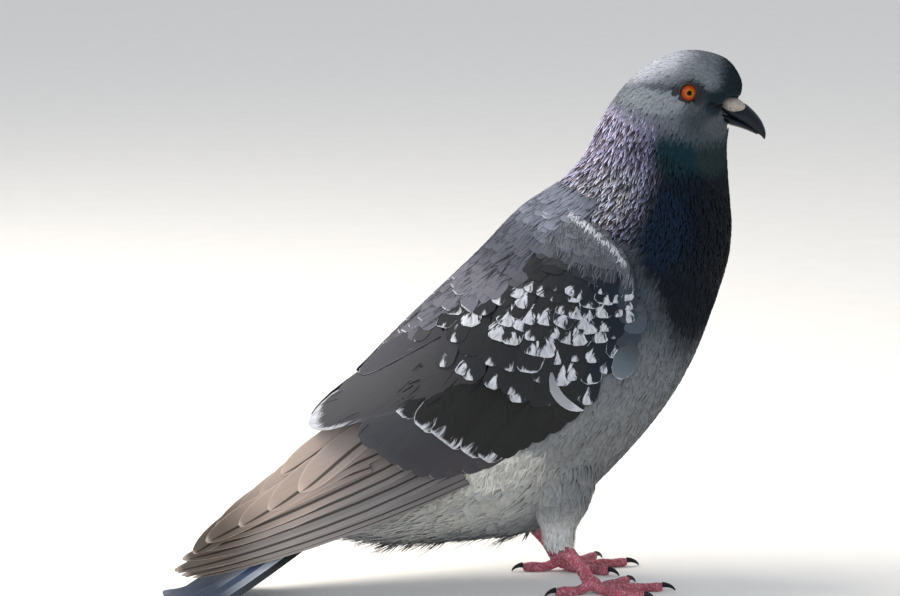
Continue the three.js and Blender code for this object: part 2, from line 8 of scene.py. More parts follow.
# %% The frame
import math
import bpy
import numpy as np
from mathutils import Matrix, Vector


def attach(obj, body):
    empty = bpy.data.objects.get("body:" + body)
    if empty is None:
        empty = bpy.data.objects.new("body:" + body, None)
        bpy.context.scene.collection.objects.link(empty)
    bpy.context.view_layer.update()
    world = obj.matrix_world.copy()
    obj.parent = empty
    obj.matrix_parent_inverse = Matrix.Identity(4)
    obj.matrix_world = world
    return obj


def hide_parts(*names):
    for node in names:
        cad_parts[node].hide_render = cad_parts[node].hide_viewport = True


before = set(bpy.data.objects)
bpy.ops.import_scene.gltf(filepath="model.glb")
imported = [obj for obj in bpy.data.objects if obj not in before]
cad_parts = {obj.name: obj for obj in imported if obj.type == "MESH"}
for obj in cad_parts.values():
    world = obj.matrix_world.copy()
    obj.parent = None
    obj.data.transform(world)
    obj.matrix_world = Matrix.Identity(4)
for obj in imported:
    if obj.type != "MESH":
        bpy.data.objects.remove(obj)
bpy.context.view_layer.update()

MM = 0.001
MIDDLE = 8.03      # x of the middle between bill tip and tail tip, which is the frame's origin
RIGHT, LEFT = -1, 1    # the sign of y on each side
TURN = 2 * np.pi
rng = np.random.default_rng(20)

# %% [markdown]
# ## Colours and nodes
# Colours are written as the hex codes that a colour picker shows, and turned to the linear values that
# Blender computes with. One small function adds a node, sets what it is given and links its inputs.


# %% Colour and node helpers
def linear(code):
    """sRGB hex to linear RGB: c/12.92 below 0.04045, else ((c + 0.055)/1.055) to the power 2.4."""
    c = np.array([int(code[i:i + 2], 16) for i in (1, 3, 5)]) / 255
    return np.where(c <= 0.04045, c / 12.92, ((c + 0.055) / 1.055) ** 2.4)


def rgba(code):
    return (*linear(code), 1.0)


def add_node(tree, kind, inputs=None, **settings):
    """Adds a node. inputs maps a socket name or number to a value, or to another node's output."""
    node = tree.nodes.new(kind)
    for key, value in settings.items():
        setattr(node, key, value)
    for key, value in (inputs or {}).items():
        if isinstance(value, bpy.types.NodeSocket):
            tree.links.new(value, node.inputs[key])
        else:
            node.inputs[key].default_value = value
    return node


def new_material(name, roughness, **sockets):
    """A material with one Principled shader: returns material, tree, shader."""
    material = bpy.data.materials.new(name)
    material.use_nodes = True
    tree = material.node_tree
    tree.nodes.clear()
    shader = add_node(tree, "ShaderNodeBsdfPrincipled", {"Roughness": roughness, **sockets})
    add_node(tree, "ShaderNodeOutputMaterial", {"Surface": shader.outputs[0]})
    return material, tree, shader


print("middle grey in linear light:", linear("#808080").round(3).tolist())


# %% [markdown]
# ## Meshes from arrays
# A grid of points becomes a mesh of quads. `foreach_set` hands whole arrays to Blender at once, which is
# far quicker than adding faces one by one.


# %% Mesh helpers
def smoothstep(x, low, high):
    """0 below low, 1 above high, and 3f^2 - 2f^3 between."""
    f = np.clip((np.asarray(x, float) - low) / (high - low), 0, 1)
    return f * f * (3 - 2 * f)


def unit(v):
    return v / np.maximum(np.linalg.norm(v, axis=-1, keepdims=True), 1e-9)


def grid_quads(rows, ring):
    """Quads of a rows x ring grid whose ring closes on itself, numbered row by row."""
    i, j = np.meshgrid(np.arange(rows - 1), np.arange(ring), indexing="ij")
    k = (j + 1) % ring
    return np.stack([i * ring + j, i * ring + k, (i + 1) * ring + k, (i + 1) * ring + j], -1).reshape(-1, 4)


def capped_loft(points):
    """Rows x ring x 3 points to vertices and quads, with each end closed by a strip of quads."""
    rows, ring = points.shape[:2]
    faces = [grid_quads(rows, ring)]
    for start, flip in ((0, True), ((rows - 1) * ring, False)):
        low = np.arange(ring // 2 - 1)
        strip = np.stack([low, low + 1, ring - 2 - low, ring - 1 - low], -1) + start
        faces.append(strip[:, ::-1] if flip else strip)
    return points.reshape(-1, 3), np.concatenate(faces)


def outward(vertices, faces):
    """Turns all faces round when the shape's signed volume is negative."""
    p = vertices[faces]
    six = np.einsum("ij,ij->i", p[:, 0], np.cross(p[:, 1], p[:, 2]) + np.cross(p[:, 2], p[:, 3])).sum()
    return faces if six > 0 else faces[:, ::-1]


def make_mesh(name, vertices, faces, material, attributes=None, uv=None, crease=None):
    """A mesh object at the origin. attributes maps a name to (type, one value for each vertex). Edges that
    bend by more than crease stay sharp, so that a thin vane isn't shaded like a cushion."""
    mesh = bpy.data.meshes.new(name)
    vertices = (np.asarray(vertices, float) - [MIDDLE, 0, 0]) * MM
    mesh.vertices.add(len(vertices))
    mesh.vertices.foreach_set("co", vertices.astype(np.float32).ravel())
    mesh.loops.add(faces.size)
    mesh.loops.foreach_set("vertex_index", faces.astype(np.int32).ravel())
    mesh.polygons.add(len(faces))
    mesh.polygons.foreach_set("loop_start", np.arange(0, faces.size, 4, dtype=np.int32))
    mesh.update(calc_edges=True)
    for key, (kind, values) in (attributes or {}).items():
        slot = "color" if kind == "FLOAT_COLOR" else "vector"
        layer = mesh.attributes.new(key, kind, "POINT")
        layer.data.foreach_set(slot, np.asarray(values, np.float32).ravel())
    if uv is not None:
        layer = mesh.uv_layers.new(name="OFBake")
        layer.data.foreach_set("uv", uv[faces.ravel()].astype(np.float32).ravel())
    mesh.polygons.foreach_set("use_smooth", np.ones(len(faces), bool))
    if crease is not None:
        mesh.set_sharp_from_angle(angle=crease)
    mesh.materials.append(material)
    piece = bpy.data.objects.new(name, mesh)
    bpy.context.scene.collection.objects.link(piece)
    print(f"{name}: {len(vertices)} points, {2 * len(faces)} triangles")
    return piece


print("quads of a closed tube of 3 rings of 8:", len(capped_loft(np.zeros((3, 8, 3)))[1]))

# %% [markdown]
# ## The body's form
# The bird is a row of cross-sections. Each has a point on the line of crown, nape and back, a point on
# the line of throat, breast and belly, and a half width. A smooth curve runs through every column of the
# table, so the whole body is one function of `t` (0 bill, 1 tail coverts) and `a` (0 along the back,
# a quarter turn on the right side, a half turn on the belly). The same function places every feather.

# %% Stations
STATIONS = np.array([
    # back x, z,    front x, z,   half, widest, wing, roof
    [128.4, 213.8,  122.8, 200.0, 3.9,  0.50,   0,    0],     # root of the bill
    [127.6, 221.5,  121.6, 196.6, 6.3,  0.38,   0,    0],     # brow
    [120.5, 230.0,  121.5, 192.6, 8.9,  0.33,   0,    0],     # forehead
    [106.0, 233.4,  121.9, 188.0, 10.9, 0.37,   0,    0],     # crown and eyes
    [91.0,  229.8,  122.4, 183.0, 12.4, 0.46,   0,    0],     # ear coverts
    [77.5,  219.6,  122.9, 176.5, 14.0, 0.50,   0,    0],     # nape
    [67.4,  205.6,  123.8, 167.5, 16.0, 0.50,   0,    0],     # upper neck
    [58.5,  187.8,  124.5, 155.0, 21.0, 0.49,   0,    0],     # neck
    [46.5,  175.4,  122.4, 140.5, 29.0, 0.48,   1.5,  0.6],   # root of the neck
    [31.5,  164.8,  115.6, 121.0, 35.5, 0.47,   4.5,  0.6],   # shoulders
    [14.5,  147.4,  105.0, 95.5,  39.0, 0.48,   6.0,  0.7],   # mantle
    [-5.0,  128.6,  89.0,  71.5,  39.5, 0.48,   6.5,  1.5],   # middle of the back
    [-22.0, 104.5,  64.0,  45.0,  36.5, 0.48,   6.5,  8.5],   # rump and belly
    [-34.0, 87.0,   40.0,  26.5,  32.0, 0.48,   6.5,  12.5],  # behind the legs
    [-46.0, 71.5,   8.0,   22.5,  27.0, 0.47,   7.0,  17.5],  # vent
    [-58.0, 55.5,   -30.0, 23.0,  19.5, 0.45,   7.0,  21.5],  # tail coverts
    [-72.0, 44.0,   -60.0, 29.5,  9.0,  0.45,   4.0,  24.0],  # end of the tail coverts
])
BACK_EXPONENT, BELLY_EXPONENT = 2.15, 2.0


def rows_at(rows, t):
    """Catmull-Rom cubics through the rows, which stand at even steps of t from 0 to 1, and straight on
    beyond the last row."""
    inside = np.clip(t, 0, 1)
    place = inside * (len(rows) - 1)
    i = np.minimum(place.astype(int), len(rows) - 2)
    f = (place - i)[..., None]
    p1, p2 = rows[i], rows[i + 1]
    m1 = (p2 - rows[np.maximum(i - 1, 0)]) / 2
    m2 = (rows[np.minimum(i + 2, len(rows) - 1)] - p1) / 2
    curve = (((2 * p1 - 2 * p2 + m1 + m2) * f + (-3 * p1 + 3 * p2 - 2 * m1 - m2)) * f + m1) * f + p1
    beyond = ((t - inside) * (len(rows) - 1))[..., None]
    return curve + beyond * np.where(beyond > 0, rows[-1] - rows[-2], rows[1] - rows[0])


def body(t, a, wing=0.0):
    """Point of the coat's outside. A ring is two half ellipses between the back and the front point,
    along = |cos a|^(2/e) and across = |sin a|^(2/e). wing from 0 to 1 adds the folded wing's thickness
    and its roof over the rump."""
    t, a, wing = np.broadcast_arrays(np.asarray(t, float), np.asarray(a, float), np.asarray(wing, float))
    bx, bz, fx, fz, half, widest, thick, roof = np.moveaxis(rows_at(STATIONS, t), -1, 0)
    bx, bz = bx - 0.25 * roof * wing, bz + roof * wing
    c, s = np.cos(a), np.sin(a)
    e = np.where(c > 0, BACK_EXPONENT, BELLY_EXPONENT)
    along, across = np.abs(c) ** (2 / e), np.abs(s) ** (2 / e)
    v = np.where(c > 0, widest * (1 - along), widest + (1 - widest) * along)
    taper = 1 - 0.6 * smoothstep(v, 0.3, 0.6)
    width = np.maximum(half + wing * thick * taper, 0.5)
    return np.stack([bx + (fx - bx) * v, -np.sign(s) * width * across, bz + (fz - bz) * v], -1)


probe = body(np.array([0.0, 0.5, 1.0]), np.array([0.0, TURN / 4, TURN / 2]))
print("body at bill root, shoulder side and tail coverts:", probe.round(1).tolist())

# %% [markdown]
# ## Where a point of the side view lies
# The wing's rows of feathers are easiest to plan in the side view. This finds the `t` and `a` of a side
# view point: `t` by halving the interval in which the point changes sides of the section's line, and
# `a` from how far along that line it lies.


# %% Finding a side view point
def find(x, z, wing=1.0):
    """t and a (right side) of the surface point seen at x, z from the side."""
    x, z = np.broadcast_arrays(np.asarray(x, float), np.asarray(z, float))
    low, high = np.full(x.shape, 0.12), np.ones(x.shape)
    for _ in range(26):
        t = (low + high) / 2
        bx, bz, fx, fz, _, widest, _, roof = np.moveaxis(rows_at(STATIONS, t), -1, 0)
        bx, bz = bx - 0.25 * roof * wing, bz + roof * wing
        ahead = (x - bx) * (fz - bz) - (z - bz) * (fx - bx) < 0
        low, high = np.where(ahead, low, t), np.where(ahead, t, high)
    v = np.clip(((x - bx) * (fx - bx) + (z - bz) * (fz - bz)) / ((fx - bx) ** 2 + (fz - bz) ** 2), 0.0, 1.0)
    back = np.arccos(np.clip(1 - v / widest, 0, 1) ** (BACK_EXPONENT / 2))
    belly = np.pi - np.arccos(np.clip((v - widest) / (1 - widest), 0, 1) ** (BELLY_EXPONENT / 2))
    return t, np.where(v < widest, back, belly)


t_test, a_test = find(np.array([40.0, -20.0]), np.array([110.0, 90.0]))
print("wing points found at", t_test.round(3), a_test.round(2), body(t_test, a_test, 1.0).round(2).tolist())

# %% [markdown]
# ## One vane
# A feather is a thin lens that is carried along its shaft: two edges, a raised middle above and a
# flatter one below, wide where the vane is wide and closed at both ends. The root starts low in the coat
# and the tip ends higher, so each feather lies on the ones behind it like a roof tile. The shaft walks
# over the surface in a few steps: at each one its heading is laid flat again on the body, so that the
# feather follows every curve.

# %% Laying feathers
# stations along the shaft and the half width there, as shares of the length and of the widest half
ROUND = ([0, 0.22, 0.5, 0.76, 0.93, 1], [0.35, 0.78, 1, 0.92, 0.6, 0.14])
STRAND = ([0, 0.4, 0.78, 1], [0.6, 1, 0.6, 0.08])
SQUARE = ([0, 0.25, 0.5, 0.75, 0.9, 0.97, 1], [0.4, 0.78, 0.97, 1, 0.9, 0.68, 0.42])
FLOOR_GAP = 0.15   # no feather comes nearer to the floor than this
PATCH = 0.003      # side of a feather's patch on the OFBake map
CREASE = 1.2       # radians: edges sharper than this aren't shaded smooth


def slopes(surface, t, a, step=0.004):
    """Point, the two slopes of the surface, and its outward normal."""
    p = surface(t, a)
    pt = (surface(t + step, a) - surface(t - step, a)) / (2 * step)
    pa = (surface(t, a + step) - surface(t, a - step)) / (2 * step)
    return p, pt, pa, unit(np.cross(pt, pa))


def steps_for(pt, pa, v):
    """The changes of t and a that move the surface point by v: the normal equations of two unknowns."""
    dot = lambda x, y: np.einsum("...i,...i", x, y)
    ee, ff, gg, r, q = dot(pt, pt), dot(pt, pa), dot(pa, pa), dot(pt, v), dot(pa, v)
    area = np.maximum(ee * gg - ff * ff, 1e-6)
    return (gg * r - ff * q) / area, (ee * q - ff * r) / area


def lens(lanes):
    """Places across the vane (-1 to 1) round its ring, with +1 for the upper side and -1 for the lower."""
    over = np.linspace(-1, 1, lanes + 1)
    return np.concatenate([over, over[-2:0:-1]]), np.concatenate([np.ones(lanes + 1), -np.ones(lanes - 1)])


def lay(surface, t, a, turn, length, half, lift, profile=ROUND, lanes=2, camber=0.12, thick=0.07, bend=0.0,
        fray=0.0):
    """Feathers x stations x ring points. turn is the heading away from +t, towards +a; lift holds how high
    the root and the tip stand; across the vane the height is camber * half * (1 - c^2). bend is the angle
    by which the shaft turns on its way, half of it taken off the first heading, and fray makes the rim
    uneven."""
    along, shape = np.array(profile[0]), np.array(profile[1])
    c, side = lens(lanes)
    n = len(t)
    t, a = t.copy(), a.copy()
    turn, length, half, bend, low, high = (np.broadcast_to(v, n) for v in (turn, length, half, bend, *lift))
    heading = None
    points = np.empty((n, len(along), len(c), 3))
    worn = 1 + fray * rng.uniform(-1, 1, (n, len(along), len(c)))
    for k, s in enumerate(along):
        _, pt, pa, normal = slopes(surface, t, a)
        if heading is None:
            ahead, first = unit(pt), (turn - bend / 2)[:, None]
            heading = np.cos(first) * ahead + np.sin(first) * np.cross(normal, ahead)
        heading = unit(heading - np.einsum("ij,ij->i", heading, normal)[:, None] * normal)
        across = np.cross(normal, heading)
        wide = half * shape[k]
        rise = low + (high - low) * s
        for j, (place, upper) in enumerate(zip(c, side)):
            dt, da = steps_for(pt, pa, across * (wide * place * worn[:, k, j])[:, None])
            height = rise + camber * wide * (1 - place ** 2) + upper * thick * (1 - place ** 2) ** 0.5
            points[:, k, j] = surface(t + dt, a + da) + normal * height[:, None]
        if k + 1 < len(along):
            share = along[k + 1] - s
            dt, da = steps_for(pt, pa, (length * share)[:, None] * heading)
            swing = (bend * share)[:, None]
            heading = np.cos(swing) * heading + np.sin(swing) * across
            t, a = t + dt, a + da
    points[..., 2] = np.maximum(points[..., 2], FLOOR_GAP)
    return points


def vane_values(along, lanes, chance):
    """For each point its share along the shaft, its place across, and the feather's own random number."""
    c, _ = lens(lanes)
    along = np.asarray(along)[None, :, None]
    return np.stack(np.broadcast_arrays(along, c[None, None], chance[:, None, None]), -1)


def patch_uv(vane, t, a):
    """A small square patch for each feather, at its root's place on the body's own unwrap (t, a): x is the
    share along the shaft, y the place across."""
    root = np.stack([np.clip(t, 0, 1), np.mod(a / TURN, 1)], -1)[:, None, None]
    return root * 0.99 + PATCH * np.stack([vane[..., 0], vane[..., 1] / 2 + 0.5], -1)


def weave(points):
    """Joins feathers x stations x ring points to one set of vertices and quads, all turned outwards."""
    n, rows, ring = points.shape[:3]
    _, faces = capped_loft(points[0])
    every = (faces[None] + (np.arange(n) * rows * ring)[:, None, None]).reshape(-1, 4)
    return points.reshape(-1, 3), outward(points.reshape(-1, 3), every)


class Coat:
    """Collects layings of feathers that share a material into one piece."""

    def __init__(self):
        self.parts = []

    def add(self, points, profile, lanes, t, a, tint, mark=None):
        """tint is feathers x 3, or feathers x stations x 3, in linear RGB. mark is feathers x 3."""
        chance = rng.random(len(points))
        vane = vane_values(profile[0], lanes, chance)
        shape = points.shape[:3]
        tint = np.broadcast_to(tint[:, None] if tint.ndim == 2 else tint, (shape[0], shape[1], 3))
        tint = np.broadcast_to(tint[:, :, None], (*shape, 3))
        mark = np.zeros((shape[0], 3)) if mark is None else mark
        mark = np.broadcast_to(mark[:, None, None], (*shape, 3))
        vertices, faces = weave(points)
        self.parts.append((vertices, faces, vane, tint, mark, patch_uv(vane, t, a)))

    def piece(self, name, material, slot, nodes=()):
        """Makes the piece, lets it ride on the root body and hides the imported solids it stands for."""
        starts = np.cumsum([0] + [len(p[0]) for p in self.parts])
        flat = lambda k, width: np.concatenate([p[k].reshape(-1, width) for p in self.parts])
        faces = np.concatenate([p[1] + s for p, s in zip(self.parts, starts)])
        tint = np.concatenate([flat(3, 3), np.ones((starts[-1], 1))], 1)
        made = make_mesh(name, flat(0, 3), faces, material, {
            "vane": ("FLOAT_VECTOR", flat(2, 3)),
            "tint": ("FLOAT_COLOR", tint),
            "mark": ("FLOAT_VECTOR", flat(4, 3)),
        }, flat(5, 2), crease=CREASE)
        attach(made, "root")
        if nodes:
            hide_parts(*nodes)


print("quads of one rounded feather:", len(capped_loft(np.zeros((len(ROUND[0]), len(lens(2)[0]), 3)))[1]))

# %% [markdown]
# ## Rows of feathers
# Feathers grow in staggered rows, close together on the face and wider apart on the belly. Columns are
# spaced evenly round the body, and along each column the roots stand at even steps of a count that
# grows by distance / gap. Every second column starts half a gap later.


# %% Rows of roots
def tract(surface, t_span, a_span, across_gap, gap, wobble=0.18):
    """Roots t, a and the distance to the next column. gap(t, a) is the distance along the column."""
    a_fine = np.linspace(*a_span, 721)
    ring = surface(np.full(721, sum(t_span) / 2), a_fine)
    reach = np.concatenate([[0], np.cumsum(np.linalg.norm(np.diff(ring, axis=0), axis=1))])
    columns = max(int(reach[-1] / across_gap), 2)
    a_column = np.interp((np.arange(columns) + 0.5) / columns * reach[-1], reach, a_fine)
    t_fine = np.linspace(*t_span, 241)
    lines = surface(t_fine[None], a_column[:, None])
    pieces = np.linalg.norm(np.diff(lines, axis=1), axis=2)
    middle = (t_fine[1:] + t_fine[:-1]) / 2
    counts = np.cumsum(pieces / gap(middle[None], a_column[:, None]), axis=1)
    roots_t, roots_a = [], []
    for column, count in enumerate(counts):
        places = np.arange(0.5 * (column % 2), count[-1])
        places = places + wobble * rng.uniform(-1, 1, len(places))
        roots_t.append(np.interp(places, count, t_fine[1:]))
        roots_a.append(np.full(len(places), a_column[column]))
    t, a = np.concatenate(roots_t), np.concatenate(roots_a)
    width = reach[-1] / columns
    turn = width / np.maximum(np.linalg.norm(slopes(surface, t, a)[2], axis=1), 1)
    a = a + wobble * turn * rng.uniform(-1, 1, len(a))
    near = np.interp(a, a_column, np.gradient(a_column))
    return t, a, near * np.linalg.norm(slopes(surface, t, a)[2], axis=1)


def inside(x, z, outline):
    """True where a side view point lies in a closed outline: it crosses an odd number of its edges."""
    outline = np.asarray(outline, float)
    (x1, z1), (x2, z2) = outline.T, np.roll(outline, -1, axis=0).T
    x, z = np.asarray(x)[..., None], np.asarray(z)[..., None]
    rise = np.where(z2 == z1, 1e-9, z2 - z1)
    crossing = ((z1 > z) != (z2 > z)) & (x < x1 + (z - z1) / rise * (x2 - x1))
    return crossing.sum(-1) % 2 == 1


def distance_to(x, z, line):
    """Distance from side view points to an open line of straight pieces."""
    line = np.asarray(line, float)
    p, q = line[:-1], line[1:]
    point = np.stack([x, z], -1)[..., None, :]
    f = np.clip(((point - p) * (q - p)).sum(-1) / ((q - p) ** 2).sum(-1), 0, 1)
    return np.linalg.norm(point - (p + f[..., None] * (q - p)), axis=-1).min(-1)


def depth_in(x, z, outline):
    """Distance from the outline's edge, positive inside it."""
    away = distance_to(x, z, np.concatenate([outline, outline[:1]]))
    return np.where(inside(x, z, outline), away, -away)


def jitter(n, share):
    """n random factors within 1 - share and 1 + share."""
    return 1 + share * rng.uniform(-1, 1, n)


print("depth of a point in a square of 10:", depth_in(4.0, 5.0, np.array([[0, 0], [10, 0], [10, 10], [0, 10]])))

# %% [markdown]
# ## Markings
# The plumage colours are functions of the place on the bird, so the skin and the feathers over it agree.
# The head is blue-grey, pale on the cheek and on the crown, whose top also carries painted light, with
# painted shade on the forehead, dark lores and a dark streak behind the eye. The neck's feather tips are
# lilac at the nape and teal under the cheek, and the front of the neck and the breast are blue-black. The
# belly is grey and palest towards the vent.

# %% Colour fields
EYE = np.array([101.8, 216.0])
WING_FRONT = np.array([[50, 166], [60, 160.5], [69, 147], [73, 131], [73.5, 116], [70, 103], [59, 90.5], [46, 81],
                       [32, 71.5], [19, 65.5], [3, 62.5]])


def blend(base, code, share):
    """Mixes a colour into an array of colours."""
    return base + (linear(code) - base) * np.clip(share, 0, 1)[..., None]


def blob(x, z, cx, cz, rx, rz, tilt=0.0):
    """1 in the middle of an ellipse, falling smoothly to 0 at its edge: smoothstep of 1 - distance."""
    c, s = math.cos(math.radians(tilt)), math.sin(math.radians(tilt))
    u, v = (x - cx) * c + (z - cz) * s, (z - cz) * c - (x - cx) * s
    return smoothstep(1.25 - np.hypot(u / rx, v / rz), 0, 0.6)


def front_share(x, z):
    """0 at the nape and the sides, 1 on the front of the neck and the breast."""
    border = np.interp(z, [60, 95, 105, 120, 135, 146, 155, 162, 170, 179, 189, 197],
                       [102, 97, 92, 86, 79, 72, 74, 78, 83, 87, 89, 92])
    return smoothstep(x + 1.5 * np.sin(0.5 * x + 0.8 * z) * np.sin(0.9 * z - 0.4 * x), border - 7, border + 7)


def plumage(p):
    """Base colour of the coat at points p, in linear RGB."""
    x, y, z = np.moveaxis(p, -1, 0)
    front = front_share(x, z)
    colour = np.broadcast_to(linear("#686c72"), p.shape).copy()
    # belly, flanks and vent
    colour = blend(colour, "#727577", smoothstep(110 - z, 0, 45))
    colour = blend(colour, "#959795", blob(x, z, -8, 44, 50, 18, 12) * 0.9)
    colour = blend(colour, "#8d9298", smoothstep(-x, 25, 60) * smoothstep(60 - z, 0, 20))
    # a blue-grey band between the wing and the dark breast
    colour = blend(colour, "#39424c", smoothstep(z + 0.4 * (x - 80), 98, 128) * (1 - front))
    # neck: nape and sides, grey at its base
    neck = smoothstep(z, 146, 166) * (1 - front)
    colour = blend(colour, "#605f76", neck)
    colour = blend(colour, "#908ba2", neck * smoothstep(76 - x + 0.6 * (z - 190), -5, 11))
    colour = blend(colour, "#8b8c97", blob(x, z, 57, 169, 24, 11, 30) * 0.9)
    # breast and front of the neck: blue-black, bluest on the side, and teal under the cheek
    low = z + 2.5 * np.sin(0.45 * x + 0.3 * z) * np.sin(0.5 * z - 0.2 * x)
    colour = blend(colour, "#12171e", front * smoothstep(low, 90, 118))
    colour = blend(colour, "#061222", front * smoothstep(z, 128, 160) * smoothstep(114 - x, 0, 14))
    colour = blend(colour, "#0d2a33", blob(x, z, 97, 190, 13, 11, -10) * 0.95)
    colour = blend(colour, "#1f2c2e", blob(x, z, 113, 188, 9, 9))
    colour = blend(colour, "#0c2138", blob(x, z, 86, 160, 14, 18, -10) * front * 0.7)
    # head
    edge = np.interp(x, [60, 75, 85, 92, 105, 120], [215, 205, 201, 198, 194.5, 195.5])
    head = smoothstep(z - edge + 1.5 * np.sin(1.9 * x + 0.8 * y) * np.sin(1.3 * z), -5, 7)
    colour = blend(colour, "#5f656d", head)
    colour = blend(colour, "#373f45", head * smoothstep(x, 92, 103) * smoothstep(214 - z, 0, 10))
    # pale crown: its own pale grey, and on the top of the head painted light
    colour = blend(colour, "#a4a7b1", blob(x, z, 83, 230, 22, 11, 8) * smoothstep(z - 0.3 * (x - 88), 216, 227))
    colour = blend(colour, "#7b8288", blob(x, z, 87, 212, 13, 5.5, -8) * head)
    # painted shade darkens the forehead on the front of the head; the lores are dark, and the brow has a pale
    # mottled patch
    ragged = 1.6 * np.sin(1.5 * x + 2.1 * z) * np.sin(1.9 * x - 1.2 * z)
    dark = smoothstep(x - 0.4 * (z - 222) + ragged, 110, 120.5)
    dark = np.maximum(dark, smoothstep(x, 103, 111) * smoothstep(220.5 - z, 0, 5) * smoothstep(z, 204, 209))
    colour = blend(colour, "#17252b", dark * smoothstep(z - 0.25 * (120 - x), 200, 206))
    mottle = 0.6 + 0.4 * np.sin(2.3 * x + 1.1 * z) * np.sin(1.7 * z - 0.9 * x)
    colour = blend(colour, "#6f767c", blob(x, z, 106.5, 223.5, 10, 6, -30) * mottle)
    # round the eye, and the streak behind it
    colour = blend(colour, "#34393f", blob(x, z, 91, 217.6, 9.5, 1.5, -12) * 0.55)
    colour = blend(colour, "#2b2f34", blob(x, z, 97, 216.4, 4.5, 2.8, -10) * 0.8)
    colour = blend(colour, "#23272b", blob(x, z, EYE[0] + 0.8, EYE[1] - 0.3, 7.2, 6.2) * 0.95)
    gape = distance_to(x, z, [[111.5, 211.2], [115, 209.5], [120.4, 206.4]])
    colour = blend(colour, "#0b0c0e", smoothstep(1.1 - gape, 0, 0.9))
    colour = blend(colour, "#4a5055", blob(x, z, 116, 201, 8, 5))
    return blend(colour, "#c6c7c2", blob(x, z, 14, 58, 18, 8, 15) * 0.9)


print("crown colour:", plumage(np.array([[90.0, 5.0, 229.0]])).round(3).tolist())

# %% [markdown]
# ## The finish of a feather
# A vane is keratin: hundreds of parallel barbs that slope away from a stiff shaft. It gives the eye a
# matt surface with a faint line along the middle, fine oblique stripes and a worn, paler rim. The
# attribute `vane` tells the material where on the feather a point is, `tint` its colour, and `mark` the
# height and breadth of a white wedge on the tip and the width of a white rim. Real barbs stand 0.2 to
# 0.4 mm apart, so they are drawn a little coarser, to show.


# %% Feather material
HOLLOW = 1.4  # how hollow the flanks of a white wedge are: 1 is straight


